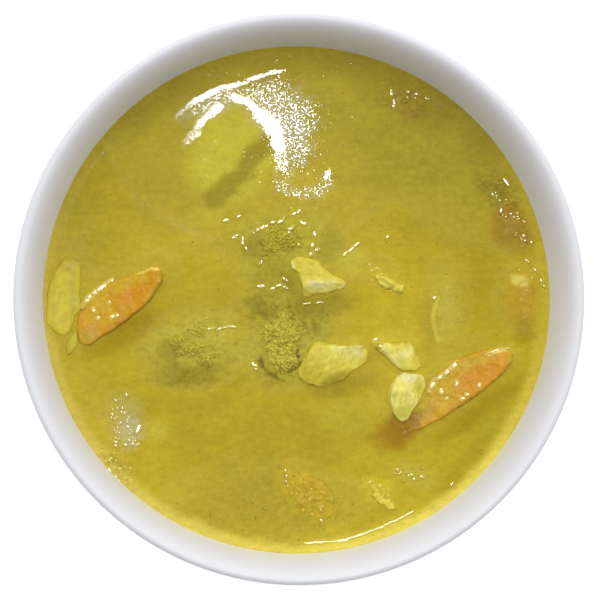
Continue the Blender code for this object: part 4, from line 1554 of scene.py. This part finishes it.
ALL_FOOD = (
    carrot(
        "carrot_right", 34.5, 0.08, 0.75, lift=0.4, rough=0.22, rough_size=1.3,
        marks=stains_and_shading(
            (DEEP_ORANGE, 1.0, 52.0, -21.5, 8, 4.5, 25, 0.6),
            (AMBER, 0.85, (39.5, -26.5, 43.5, -22.5, 49.0, -18.5, 55.0, -16.0), 2.6),
            (AMBER, 0.8, 41.5, -29.0, 5, 4, 30, 0.6, 0.4, 2.0),
            # painted highlight along the raised edge near the tip
            ((0.95, 0.78, 0.16), 0.9, (55.0, -15.8, 57.5, -14.9, 60.2, -14.6), 0.8, 0.1),
            ((0.58, 0.36, 0.035), 0.8, 35.5, -33.0, 5, 3, 40, 0.6, 0.4, 2.0),
            # painted shade along the lower edge, and the sunk end
            (SUNK_AND_SHADED_ORANGE, 0.8, 48.0, -31.0, 9, 1.6, 32, 0.6),
            (SUNK_AND_SHADED_ORANGE, 0.9, 31.0, -36.5, 4, 3, 40, 0.6),
        ),
        veils=shares(
            (0.55, 31.0, -37.0, 4.5, 4.0, 40, 0.6, 0.3),
            (0.6, (62.0, -16.0, 61.0, -22.0, 55.0, -28.5, 48.0, -32.0), 2.6),
        ),
    ),
    carrot(
        "carrot_left", 38.0, 0.06, 0.75, lift=0.4, rough=0.22, rough_size=1.3,
        pulls=(
            Pull(-41.5, 6.5, 3.0, (0.9, 2.0, 0.2)),
            Pull(-60.5, -11.5, 2.5, (0.4, -1.2, 0.0)),
            Pull(-59.0, 0.0, 5.5, (-1.0, 1.3, 0.1)),
        ),
        marks=stains_and_shading(
            (DEEP_ORANGE, 1.0, -46.0, 2.5, 7, 3.5, 30, 0.6),
            (AMBER, 0.85, (-60.0, -2.0, -56.0, 2.0, -50.0, 4.5, -45.0, 6.0), 2.6),
            (AMBER, 0.7, -56.5, -4.0, 4, 3, 40, 0.6, 0.4, 2.0),
            # painted highlight along the upper edge near the tip
            ((0.95, 0.72, 0.12), 0.9, (-46.0, 7.4, -42.8, 8.6, -40.0, 8.4), 0.8, 0.1),
            # painted shade along the lower edge
            (SUNK_AND_SHADED_ORANGE, 0.9, -49.0, -6.0, 8, 1.5, 33, 0.6),
            ((0.60, 0.36, 0.06), 0.8, -60.0, -10.5, 3, 2.5, 60, 0.6),
        ),
        veils=shares(
            (0.6, (-39.0, 8.0, -40.0, 4.0, -43.5, -1.0), 2.2),
            (0.5, -61.0, -12.0, 2.5, 3.0, 0, 0.6),
        ),
    ),
    carrot(
        "carrot_bottom", -42.0, 0.55, 1.0, lift=0.2, smoothing=1, lump=0.7, lump_size=2.2, rough=0.3,
        tone=(0.80, 0.53, 0.035),
        pulls=(Pull(-1.5, -53.0, 3.0, (0.8, -1.5, -0.8)), Pull(8.0, -60.0, 3.0, (-0.8, 0.5, -0.3))),
        marks=stains_and_shading(((0.74, 0.43, 0.02), 1.0, 1.5, -59.5, 5, 3, -40, 0.6, 0.5, 2.0)),
    ),
    carrot(
        "carrot_rim", 80.0, 0.85, 1.0, lift=-0.6, lump=0.6, rough=0.25, tone=(0.55, 0.36, 0.02),
        marks=stains_and_shading(((0.66, 0.58, 0.12), 1.0, 64.5, 5.0, 3, 2.2, -20, 0.5, 0.4, 2.0)),
    ),
    pepper(
        "pepper_rim", 0.45, 0.9, lift=-0.2, tone=(0.44, 0.23, 0.006),
        pulls=(Pull(64.0, 17.0, 4.0, (1.0, -2.4, 0.0)), Pull(60.5, 23.0, 4.0, (-1.2, 0.6, 0.0))),
        marks=stains_and_shading(((0.50, 0.21, 0.006), 1.0, 61.5, 24.5, 3.5, 1.6, -15, 0.6)),
    ),
    pepper("pepper_top", 0.9, 1.0, lift=-0.5, tone=(0.42, 0.28, 0.014)),
    chicken(
        "chicken_centre", -35.0, 0.06, 0.6, rough=0.3, rough_size=1.2, stretch=0.5,
        cuts=(
            Cut(5.5, 4.7, 2.9, 0.75, -78.0),
            Cut(-1.0, 9.0, 2.3, 0.35, 150.0),
            Cut(8.0, 8.0, 1.8, 0.5, 45.0),
        ),
        pulls=(
            Pull(12.8, 3.4, 2.6, (1.6, 0.6, 0.7)),
            Pull(-1.8, 11.6, 2.0, (-0.5, 0.7, 0.4)),
            Pull(1.0, 1.2, 2.0, (-0.3, -0.8, 0.0)),
        ),
        marks=stains_and_shading(
            ((0.74, 0.62, 0.055), 1.0, 1.0, 9.5, 4, 3.5, -20, 0.6, 0.3, 2.5),
            # painted sheen and highlights: the pale lower face, and near-white marks on the ridges and tips
            ((0.90, 0.80, 0.24), 0.9, 6.0, 3.4, 5.5, 1.7, 8, 0.5, 0.3, 2.0),
            ((0.88, 0.81, 0.40), 0.7, 4.6, 4.2, 2.4, 0.9, -10, 0.5, 0.3, 2.0),
            (WHITE_MEAT_AND_SHEEN, 0.9, 9.2, 4.6, 1.5, 1.0, 30, 0.6, 0.4, 1.2),
            ((0.92, 0.86, 0.5), 0.9, 13.2, 3.6, 0.9, 0.6, 0, 0.6),
            (WHITE_MEAT_AND_SHEEN, 0.9, -2.2, 9.6, 0.7, 1.4, 20, 0.6),
            (BUTTER, 0.8, 0.2, 6.2, 0.8, 1.8, 25, 0.6),
            ((0.70, 0.60, 0.07), 0.8, (1.5, 1.2, 5.0, 0.9, 9.0, 1.7), 1.1),
        ),
    ),
    chicken(
        "chicken_low", 70.0, 0.06, 0.6, voxel=0.34 * MM, lump=0.35, rough=0.32, rough_size=1.4, stretch=0.5,
        cuts=(
            Cut(12.5, -15.5, 3.0, 0.30, -35.0),
            Cut(9.0, -20.5, 2.5, 0.45, -80.0),
            Cut(2.5, -18.0, 2.6, 0.3, 170.0),
        ),
        pulls=(
            Pull(18.4, -14.0, 2.4, (1.0, 0.9, 0.8)),
            Pull(17.0, -17.5, 2.4, (0.9, -0.4, 0.4)),
            Pull(5.0, -13.0, 2.5, (0.0, 0.6, 0.2)),
        ),
        marks=stains_and_shading(
            ((0.60, 0.50, 0.03), 0.9, 3.0, -20.0, 4.5, 5, 0, 0.6, 0.3),
            ((0.76, 0.65, 0.07), 0.9, 6.0, -15.5, 4.0, 2.0, 20, 0.6, 0.5, 2.5),
            (BUTTER, 0.9, 14.0, -16.3, 4.5, 2.8, -20, 0.6, 0.5, 2.5),
            # painted highlights: near-white marks along the upper-right edge
            (WHITE_MEAT_AND_SHEEN, 0.9, 11.8, -14.6, 2.6, 1.1, -10, 0.6, 0.5, 1.5),
            ((0.92, 0.85, 0.36), 0.8, 16.2, -15.2, 1.8, 1.6, 0, 0.6, 0.5, 1.2),
            ((0.80, 0.69, 0.09), 0.8, 9.6, -19.2, 2.0, 2.6, 30, 0.6, 0.5, 1.5),
            # painted shade along the lower edge
            ((0.50, 0.41, 0.03), 0.9, 11.5, -22.5, 4.0, 1.6, 25, 0.6, 0.4, 1.5),
        ),
        veils=shares((0.6, (7.0, -25.0, 11.0, -23.5, 15.0, -21.5), 1.8)),
    ),
    chicken(
        "chicken_right_upper", -50.0, 0.05, 0.5, rough=0.25, rough_size=1.2, stretch=0.5,
        tone=(0.84, 0.73, 0.10),
        cuts=(Cut(29.5, -16.5, 2.5, 0.5, 20.0), Cut(27.5, -17.5, 2.6, 0.45, -130.0)),
        pulls=(Pull(24.0, -13.6, 2.2, (-1.3, 0.3, 0.5)),),
        marks=stains_and_shading(
            # paler torn meat, with painted light on the bright facets
            ((0.92, 0.82, 0.22), 1.0, (24.5, -14.5, 26.5, -18.0, 29.5, -20.5), 2.2),
            (WHITE_MEAT_AND_SHEEN, 0.9, 31.0, -16.0, 3.2, 1.6, 30, 0.5, 0.4, 2.0),
            ((0.70, 0.60, 0.06), 0.8, 34.0, -18.0, 1.8, 3, 0, 0.6),
            ((0.76, 0.65, 0.08), 0.8, 30.0, -20.2, 2.0, 1.2, 0, 0.6),
        ),
        veils=shares((0.7, (28.0, -12.0, 32.0, -11.8, 36.0, -13.0, 36.5, -18.0), 2.0)),
    ),
    chicken(
        "chicken_right_lower", 80.0, 0.05, 0.5, lump=0.2, rough=0.16, rough_size=1.4, stretch=0.5,
        tone=(0.90, 0.81, 0.19),
        cuts=(
            Cut(31.5, -23.6, 3.3, 0.55, 90.0),
            Cut(33.0, -27.0, 3.2, 0.5, 0.0),
            Cut(30.5, -29.0, 3.2, 0.3, -90.0),
        ),
        pulls=(Pull(29.0, -34.0, 2.0, (0.0, -0.6, 0.3)), Pull(35.3, -22.2, 1.8, (0.5, 0.5, 0.4))),
        marks=stains_and_shading(
            # painted sheen on the pale grey top face
            ((0.80, 0.76, 0.34), 0.9, 31.4, -22.6, 3.4, 1.3, 0, 0.4),
            ((0.90, 0.80, 0.17), 0.9, 28.0, -27.0, 1.2, 5.0, 5, 0.6, 0.3),
            ((0.66, 0.58, 0.06), 0.8, 30.0, -32.5, 3.0, 1.6, 0, 0.6, 0.3),
            ((0.66, 0.57, 0.05), 0.8, 35.0, -27.0, 1.4, 4.0, 15, 0.6, 0.3),
        ),
    ),
    chicken(
        "chicken_crumb", -20.0, 0.15, 0.4, lift=0.1, lump=0.9, lump_size=1.4, rough=0.4, rough_size=0.7,
        tone=(0.80, 0.70, 0.09),
    ),
    chicken(
        "chicken_shred", -45.0, 0.15, 0.6, lift=-0.1, lump=0.9, lump_size=1.5, rough=0.4, rough_size=0.7,
        tone=(0.78, 0.67, 0.07),
    ),
    green(
        "courgette_left", 88.0, 0.15, 1.0, lift=0.35, rough=0.12, rough_size=1.6, stretch=0.12,
        pulls=(Pull(-69.0, 2.0, 7.0, (-2.2, 0.0, 0.0)), Pull(-69.0, -7.0, 5.0, (-1.6, 0.0, 0.0))),
        marks=stains_and_shading(
            (PALE_GREEN, 0.8, -67.5, -6.5, 3.5, 5, 0, 0.6),
            ((0.54, 0.46, 0.04), 0.7, (-65.0, 11.0, -64.6, 0.0, -65.0, -6.0), 1.1, 0.1),
            ((0.55, 0.47, 0.04), 0.6, (-69.8, 11.0, -70.5, 0.0, -70.0, -7.0), 1.1, 0.1),
        ),
        veils=shares((0.8, -66.5, 12.5, 6, 5, 0, 0.6)),
    ),
    green("courgette_right", 95.0, 0.8, 0.8, lift=-0.25, rough=0.1, rough_size=1.6, stretch=0.12),
    green("onion_sliver", 60.0, 0.2, 0.3, lift=0.3, voxel=0.3 * MM, rough=0.05, tone=(0.56, 0.47, 0.035)),
    broccoli("broccoli_upper", 0.75, 0.9),
    broccoli(
        "broccoli_centre", 0.3, 0.7,
        marks=stains_and_shading(
            ((0.74, 0.64, 0.085), 0.8, -4.0, -15.0, 7, 5, 0, 0.5, 0.5, 2.5),
            # painted shadow along the lower edge
            (OLIVE_SHADOW, 0.8, (-11.0, -15.0, -9.5, -19.5, -5.0, -23.0, 1.0, -19.0), 1.8, 0.9),
        ),
    ),
    broccoli(
        "broccoli_left", 0.6, 0.9,
        # painted shadow along the lower side
        marks=stains_and_shading(((0.33, 0.26, 0.018), 1.0, -31.0, -21.0, 10, 3, 0, 0.6, 0.5, 2.5)),
    ),
)


# ---------------------------------------------------------------- small things on the surface


class Shape(Enum):
    """The shapes that small things have, as their half lengths along, across and up."""

    FLAKE = (1.0, 0.6, 0.22)
    CRUMB = (1.0, 0.8, 0.6)
    BUBBLE = (1.0, 1.0, 0.55)


@dataclass
class Scatter:
    """Many small things of one kind, scattered where its marks say."""

    name: str
    shape: Shape
    finish: Crumb | Sauce
    per_cm2: float
    size: Pair
    seed: int
    where: tuple[Mark, ...]
    everywhere: float = 0.0
    tilts: Triple = (0.25, 0.25, math.tau)

    def tree(self) -> GeometryTree:
        """A tree that sets the shape on the surface, turned at random, by the surface's density."""
        tree = GeometryTree(self.name)
        density, smallest, largest = tree.numbers(Density=1.0, Smallest=0.2 * MM, Largest=0.5 * MM)
        seed = tree.take("Seed", Sockets.COUNT, 1)
        inputs = {"Density": tree.times(density, tree.named("density"))}
        points, upright = tree.strewn("RANDOM", seed, inputs)
        if self.shape is Shape.BUBBLE:
            solid = tree.ball(12, 8)
        else:
            inputs = {"Radius": 1.0, "Subdivisions": 2}
            solid = tree.add("GeometryNodeMeshIcoSphere", inputs).outputs["Mesh"]
        form = {"Geometry": solid, "Scale": self.shape.value}
        body = tree.out("GeometryNodeTransform", form)
        limits = {0: (0.0, 0.0, 0.0), 1: self.tilts, "Seed": seed}
        turn = tree.out("FunctionNodeRandomValue", limits, data_type="FLOAT_VECTOR")
        turn = tree.out("FunctionNodeEulerToRotation", {0: turn})
        inputs = {"Rotation": upright, "Rotate By": turn}
        spin = tree.out("FunctionNodeRotateRotation", inputs, rotation_space="LOCAL")
        return tree.finish(tree.copies(points, body, spin, tree.between(smallest, largest, seed)))

    def build(self, ground: Mesh, curry: Curry, effects: Effects) -> Piece:
        """Builds the things as one piece.

        Args:
            ground: The mesh that they lie on.
            curry: The sauce, whose tint they may take.
            effects: The shared shader groups.

        Returns:
            The piece.
        """
        surface = ground.copy()
        points = points_of(surface)
        density = np.maximum(strongest(self.where, points), self.everywhere)
        density *= ramp(points[:, 2], curry.level - 0.6 * MM, curry.level - 0.3 * MM)
        density *= ramp(curry.room(points), 0.8 * MM, 1.6 * MM)
        paint(surface, "density", density)
        least, most = (size * MM for size in self.size)
        values = {"Density": self.per_cm2 * 1.0e4, "Smallest": least, "Largest": most, "Seed": self.seed}
        mesh = self.tree().run(surface, self.finish.make(effects), **values)
        curry.paint(mesh)
        mesh.shade_smooth()
        return add_piece(self.name, mesh, "curry_sauce")


@dataclass(frozen=True)
class Glints:
    """Wet beads along a line of x, y, x, y and so on, whose glints are as long and wide as given.

    The beads lie along the line, evenly spaced, and may stray from it; each glint has several parts.
    """

    line: tuple[float, ...]
    count: int
    long: float
    wide: float
    stray: float = 0.0
    parts: int = 3
    uneven: float = 0.45

    def places(self, rng: np.random.Generator) -> list[tuple[float, ...]]:
        """Each bead's place, half length, half width and turn in radians."""
        line = np.reshape(self.line, (-1, 2))
        steps = np.linalg.norm(np.diff(line, axis=0), axis=1)
        reach = np.concatenate(([0.0], np.cumsum(steps)))
        found = []
        for k in range(self.count):
            share = 0.5 if self.count == 1 else k / (self.count - 1)
            at = reach[-1] * min(max(share + self.stray * rng.uniform(-0.1, 0.1), 0.0), 1.0)
            part = min(int(np.searchsorted(reach, at, side="right")) - 1, len(steps) - 1)
            way = (line[part + 1] - line[part]) / steps[part]
            place = line[part] + way * (at - reach[part]) + self.stray * rng.uniform(-1.0, 1.0, 2)
            size = 1.0 + self.stray * rng.uniform(-0.5, 0.5)
            turn = math.atan2(way[1], way[0]) + math.radians(40.0 * self.stray * rng.uniform(-1, 1))
            along = np.array((math.cos(turn), math.sin(turn)))
            aside = np.array((-math.sin(turn), math.cos(turn)))
            for part in range(self.parts):
                shift = 1.5 * (part + 0.5) / self.parts - 0.75 if self.parts > 1 else 0.0
                spot = place + along * self.long * size * shift
                spot = spot + aside * self.wide * size * self.uneven * rng.uniform(-1.0, 1.0)
                length = self.long * size / (1.0 + 0.45 * (self.parts - 1)) * rng.uniform(0.7, 1.2)
                width = 0.62 * self.wide * size * rng.uniform(0.6, 1.15)
                found.append((*spot, length, width, turn + self.uneven * rng.uniform(-1.0, 1.0)))
        return found


@dataclass
class Beads:
    """Flat drops of clear fat that catch the window's light on wet skins and edges.

    Each row has what one Glints takes.
    """

    name: str
    finish: Fat
    sunk: float
    rows: tuple[tuple, ...]
    thick: float = 0.11
    spread: float = 0.046

    @staticmethod
    def tree() -> GeometryTree:
        """A tree that sets a flattened ball on each point by its own size and turn."""
        tree = GeometryTree("beads")
        spin, size = (tree.named(name, "FLOAT_VECTOR") for name in ("spin", "size"))
        return tree.finish(tree.copies(tree.source, tree.ball(14, 8), spin, size))

    def half_axis(self, glint: float) -> float:
        """The half axis that a drop needs for a glint of a half length."""
        steep = self.spread / self.thick
        return math.sqrt(glint**2 / 2 + math.sqrt(glint**4 / 4 + (glint / steep) ** 2))

    def build(self, ground: BVHTree, curry: Curry, window: "Stage") -> Piece:
        """Builds the beads as one piece, each turned so that it glints.

        Args:
            ground: The faces that they lie on.
            curry: The sauce, whose tint they take.
            window: The stage, whose window they mirror.

        Returns:
            The piece.
        """
        rng = np.random.default_rng(4)
        points, sizes, spins = [], [], []
        for row in self.rows:
            for x, y, long, wide, turn in Glints(*row).places(rng):
                over = ground.ray_cast(Vector((x * MM, y * MM, 0.1)), DOWN)[0]
                if over is None:
                    continue
                size = Vector((self.half_axis(long), self.half_axis(wide), self.thick)) * MM
                up = window.mirror_axis(over)
                first = Vector((math.cos(turn), math.sin(turn), 0.0))
                first = (first - up * first.dot(up)).normalized()
                spins.append(Matrix((first, up.cross(first), up)).transposed().to_euler())
                points.append(over + self.sunk * size.z * DOWN)
                sizes.append(size)
        mesh = bpy.data.meshes.new(self.name)
        mesh.from_pydata(points, [], [])
        paint(mesh, "size", sizes, "FLOAT_VECTOR", "vector")
        paint(mesh, "spin", spins, "FLOAT_VECTOR", "vector")
        made = self.tree().run(mesh, self.finish.make())
        curry.paint(made)
        made.shade_smooth()
        return add_piece(self.name, made, "curry_sauce")


WET_BEADS = Beads("wet_beads", Fat(), 0.25, (
    # on and round the upper broccoli
    ((-5.4, 22.4, -0.8, 25.0), 2, 1.5, 0.42),
    ((-12.4, 19.7, -7.8, 22.2), 3, 1.1, 0.40, 0.2),
    ((-3.2, 20.0, -1.0, 21.4), 1, 1.3, 0.32),
    ((0.2, 22.4, 2.4, 21.4), 1, 1.2, 0.42),
    ((4.3, 19.6, 4.5, 18.4), 1, 0.6, 0.42),
    ((3.7, 16.2, 3.8, 15.2), 1, 0.5, 0.42),
    ((3.4, 13.2, 5.2, 14.2), 2, 0.6, 0.42, 0.2),
    ((-2.9, 19.0, -0.2, 15.7), 2, 0.5, 0.38),
    ((-11.4, 9.6, -10.8, 11.2), 1, 0.9, 0.36),
    ((-4.7, 6.4, -3.1, 5.0), 1, 1.1, 0.30),
    ((-7.7, 3.1, -5.8, 4.0, -3.9, 3.3), 3, 0.7, 0.32),
    ((-12.0, 3.6, -10.0, 3.8), 1, 1.0, 0.48),
    # left of it
    ((-21.8, 22.4, -20.4, 22.7), 1, 0.7, 0.55),
    ((-17.9, 23.8, -16.9, 24.0), 1, 0.5, 0.42),
    ((-19.2, 17.9, -17.6, 18.3), 1, 0.9, 0.42),
    ((-16.4, 17.6, -15.4, 14.2), 3, 0.6, 0.35, 0.3),
    # in the middle, among the pieces
    ((13.3, 13.0, 17.0, 16.0), 3, 0.9, 0.26, 0.2),
    ((-25.4, -8.6, -19.3, -7.6), 3, 1.2, 0.18, 0.3),
    ((-13.4, -18.1, -12.2, -20.1), 1, 1.2, 0.42),
    ((2.3, -1.3, 6.1, -0.9), 2, 1.1, 0.18),
    # in and round the painted sheen on the left
    ((-46.3, -38.0, -45.4, -35.2), 1, 2.0, 0.8, 0.0, 1, 0.05),
    ((-46.8, -40.5, -48.6, -42.3, -52.6, -41.6), 7, 0.4, 0.28, 0.9),
    ((-49.9, -27.7, -49.3, -27.3), 1, 0.4, 0.42),
    # by the courgette and the chicken on the right
    ((39.0, 0.3, 39.8, 0.5), 1, 0.4, 0.33),
    ((22.7, -13.7, 23.4, -13.5), 1, 0.5, 0.40),
    # the right edge
    ((58.8, 25.4, 59.2, 27.4), 1, 1.0, 0.44),
    ((60.5, 24.6, 66.0, 23.2), 6, 0.4, 0.26, 0.7),
    ((63.0, 19.3, 67.6, 17.0), 6, 0.4, 0.26, 0.7),
    ((56.0, 31.5, 60.5, 29.0), 5, 0.4, 0.26, 0.9),
    ((59.6, 35.6, 61.2, 33.2), 1, 1.8, 0.50, 0.0, 1, 0.05),
    ((67.0, 11.0, 69.5, 8.0, 71.0, 5.0), 3, 1.3, 0.18),
    # the far edge
    ((27.0, 60.4, 27.6, 57.0), 2, 1.1, 0.44),
    ((31.5, 60.6, 34.5, 59.6), 2, 0.8, 0.32),
    ((31.5, 59.0, 37.0, 58.6), 3, 0.4, 0.26, 0.6),
    # a lone bead
    ((25.4, 18.0, 26.0, 18.4), 1, 0.4, 0.36),
    # the near edge
    ((6.4, -60.0, 6.5, -64.0), 2, 0.8, 0.30),
    ((2.0, -70.2, 11.8, -69.7, 16.8, -68.3, 23.4, -66.0, 29.3, -63.3, 32.7, -61.6), 22, 1.4, 0.20, 0.0, 1),
    ((43.5, -54.1, 45.3, -53.0), 1, 1.1, 0.24, 0.0, 1),
    # sparkle in the painted sheen, by the near carrot and in the foam
    ((-53.5, -29.0, -51.5, -40.0), 26, 0.13, 0.16, 1.3, 1),
    ((-50.0, -31.0, -48.0, -41.0), 26, 0.13, 0.16, 1.3, 1),
    ((-4.0, -49.6, -3.2, -54.0), 4, 0.6, 0.24, 0.2),
    ((28.5, -49.5, 33.0, -51.5, 36.0, -51.5), 6, 0.5, 0.30, 0.8),
    ((-57.5, -46.5, -50.5, -53.0), 8, 0.4, 0.30, 1.2),
))

CARROT_BEADS = Beads("carrot_beads", Fat("carrot juice", (0.78, 0.58, 0.12)), 0.1, (
    # drops on the left carrot
    ((-58.8, -3.6, -58.8, -2.8), 1, 0.45, 0.42),
    ((-58.0, -5.8, -57.2, -5.2), 1, 0.4, 0.30),
    ((-53.4, -5.2, -52.2, -4.8), 2, 0.5, 0.42),
    ((-54.3, -1.4, -54.1, -0.8), 1, 0.3, 0.30),
    # drops on the right carrot
    ((41.0, -27.0, 41.4, -26.0), 1, 0.6, 0.42),
    ((42.4, -28.9, 43.0, -28.4), 1, 0.4, 0.36),
    ((45.6, -24.8, 45.8, -23.8), 1, 0.5, 0.28),
    ((52.0, -25.2, 52.2, -24.4), 1, 0.4, 0.26),
    ((47.0, -28.4, 48.2, -27.8), 2, 0.4, 0.28, 0.3),
    # bright lines along their edges
    ((-61.5, -1.6, -59.9, 0.5, -57.5, 2.5, -54.2, 4.8), 34, 1.3, 0.55, 0.04, 1, 0.05),
    ((38.4, -25.4, 39.6, -23.5, 42.2, -21.6, 45.3, -18.9), 34, 1.3, 0.52, 0.04, 1, 0.05),
    ((55.1, -15.5, 57.5, -14.6, 60.2, -14.3), 9, 0.9, 0.14, 0.0, 1, 0.05),
))

SCATTERS = (
    Scatter(
        "herb_flecks", Shape.FLAKE, Crumb("herb", (0.22, 0.175, 0.014)), 14.0, (0.10, 0.32), 3,
        shares(
            (2.4, 58.5, 32.5, 7, 4, -45),
            (0.8, -4.0, -62.0, 26, 8),
            (1.8, -52.5, -50.0, 8, 5, -45),
            (0.8, -2.0, -4.0, 12, 8),
            (0.6, 27.0, 20.0, 5, 6),
        ),
        everywhere=0.03,
    ),
    Scatter(
        "golden_crumbs", Shape.CRUMB, Crumb("golden crumb", (0.80, 0.66, 0.14), 0.45), 22.0, (0.18, 0.5), 5,
        shares(
            (1.0, 24.0, 6.5, 4.5, 2.0, -25),
            (0.6, 32.0, 4.6, 4, 1.2),
            (1.0, 66.0, 4.5, 2.5, 3),
            (0.8, 3.0, -55.0, 4, 3, -40),
            (1.0, 62.0, 24.5, 3.5, 1.2, -15),
            (1.0, 64.5, 18.5, 3.0, 1.2, -20),
            (1.6, -53.5, -49.0, 7, 4, -45),
            (0.5, 59.0, 33.5, 4, 2, -45),
            (1.2, 22.8, -55.3, 4.5, 2.4, -45),
        ),
    ),
    Scatter(
        "carrot_crumbs", Shape.CRUMB, Crumb("carrot crumb", (0.74, 0.46, 0.028), 0.4), 30.0, (0.2, 0.6), 9,
        shares(
            (1.0, 2.0, -57.5, 6.0, 3.4, -42, 0.3),
            (0.5, 65.0, 1.0, 3.0, 4.0),
        ),
    ),
    Scatter(
        "foam_bubbles", Shape.BUBBLE, Sauce("foam", specks=0.0), 26.0, (0.3, 0.8), 7,
        shares(
            (1.0, 31.5, -50.5, 5.5, 2.2, -15),
            (0.8, 31.0, 58.8, 5.0, 2.2, -35),
            (0.8, -53.0, -49.5, 5, 2.5, -45),
        ),
    ),
)


# ---------------------------------------------------------------- stage


@dataclass
class Stage:
    """The pale floor, the soft light and the camera that looks down on the bowl."""

    eye: Vector = Vector((-26.6, -10.9, 488.0)) * MM
    aim: Vector = Vector((-0.65, -0.67, 68.0)) * MM
    lens: float = 90.66
    lamp: Vector = Vector((7.0, 130.0, 654.0)) * MM
    lamp_aim: Vector = Vector((0.0, 0.0, 55.0)) * MM
    lamp_size: Pair = (112.0 * MM, 92.0 * MM)
    lamp_watts: float = 1.8
    lamp_colour: Colour = (0.96, 0.96, 1.05)
    sky: float = 0.54
    sky_colour: Colour = (0.985, 0.99, 1.005)
    ceiling: float = 0.8
    sky_side: Triple = (0.05, 0.92, 0.0)
    floor_half: float = 6.0

    def mirror_axis(self, place: Vector) -> Vector:
        """The direction that a surface at a place faces when it mirrors the window to the eye."""
        return ((self.eye - place).normalized() + (self.lamp - place).normalized()).normalized()

    def camera(self) -> None:
        """Sets the camera over the bowl, with the far side of the table at the top."""
        data = bpy.data.cameras.new("camera")
        data.lens = self.lens
        data.clip_start = 0.01
        back = (self.eye - self.aim).normalized()
        right = Vector((0.0, 1.0, 0.0)).cross(back).normalized()
        turn = Matrix((right, back.cross(right), back)).transposed().to_4x4()
        turn.translation = self.eye
        camera = placed("camera", data)
        camera.matrix_world = turn
        bpy.context.scene.camera = camera

    def window(self) -> None:
        """Lights the bowl from a window behind it."""
        data = bpy.data.lights.new("window", "AREA")
        data.shape = "RECTANGLE"
        data.size, data.size_y = self.lamp_size
        data.energy = self.lamp_watts
        data.color = self.lamp_colour
        window = placed("window", data)
        turn = (self.lamp_aim - self.lamp).to_track_quat("-Z", "Y").to_matrix().to_4x4()
        window.matrix_world = Matrix.Translation(self.lamp) @ turn
        window.visible_camera = False

    def room(self) -> None:
        """Lights the bowl softly from all round, most from one side and least from the ceiling."""
        world = bpy.data.worlds.new("soft room")
        world.use_nodes = True
        nodes = Nodes(world.node_tree)
        way = nodes.add("ShaderNodeTexCoord").outputs["Generated"]
        side = nodes.add("ShaderNodeVectorMath", {0: way, 1: self.sky_side}, operation="DOT_PRODUCT")
        strength = nodes.math("MULTIPLY_ADD", side.outputs["Value"], self.sky, self.sky)
        high = nodes.add("ShaderNodeSeparateXYZ", {"Vector": way}).outputs["Z"]
        shaded = nodes.math("MULTIPLY_ADD", nodes.ramp(high, 0.90, 0.97), -self.ceiling, 1.0)
        background = world.node_tree.nodes["Background"]
        background.inputs["Color"].default_value = (*self.sky_colour, 1.0)
        world.node_tree.links.new(nodes.times(strength, shaded), background.inputs["Strength"])
        bpy.context.scene.world = world
        bpy.context.scene.view_settings.view_transform = "Standard"

    def floor(self) -> None:
        """Lays the pale floor that the bowl stands on."""
        half = self.floor_half
        mesh = bpy.data.meshes.new("floor")
        corners = [(-half, -half, 0.0), (half, -half, 0.0), (half, half, 0.0), (-half, half, 0.0)]
        mesh.from_pydata(corners, [], [(0, 1, 2, 3)])
        finish = Finish("pale floor", 0.9)
        finish.fix(Base_Color=(0.9, 0.9, 0.9, 1.0), Specular_IOR_Level=0.0)
        finish.fix(Emission_Color=(1.0, 1.0, 1.0, 1.0), Emission_Strength=0.6)
        placed("floor", wear(mesh, finish.material))

    def build(self) -> None:
        """Makes them all."""
        self.camera()
        self.window()
        self.room()
        self.floor()


# ---------------------------------------------------------------- the whole


def write_sizes() -> None:
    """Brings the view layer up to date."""
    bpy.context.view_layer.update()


def main() -> None:
    """Builds the stage, the bowl, the food, the sauce and what floats on it."""
    logging.basicConfig(level=logging.INFO, format="%(message)s")
    effects = Effects()
    stage = Stage()
    stage.build()
    bowl = Bowl()
    bowl.build()
    curry = Curry(bowl)
    food = [piece.build(curry, effects).data for piece in ALL_FOOD]
    sauce = curry.build(faces_of(food), Sauce().make(effects)).data
    ground = faces_of([sauce, *food])
    for beads in (WET_BEADS, CARROT_BEADS):
        beads.build(ground, curry, stage)
    for scatter in SCATTERS:
        scatter.build(sauce, curry, effects)
    write_sizes()


if __name__ == "__main__":
    main()
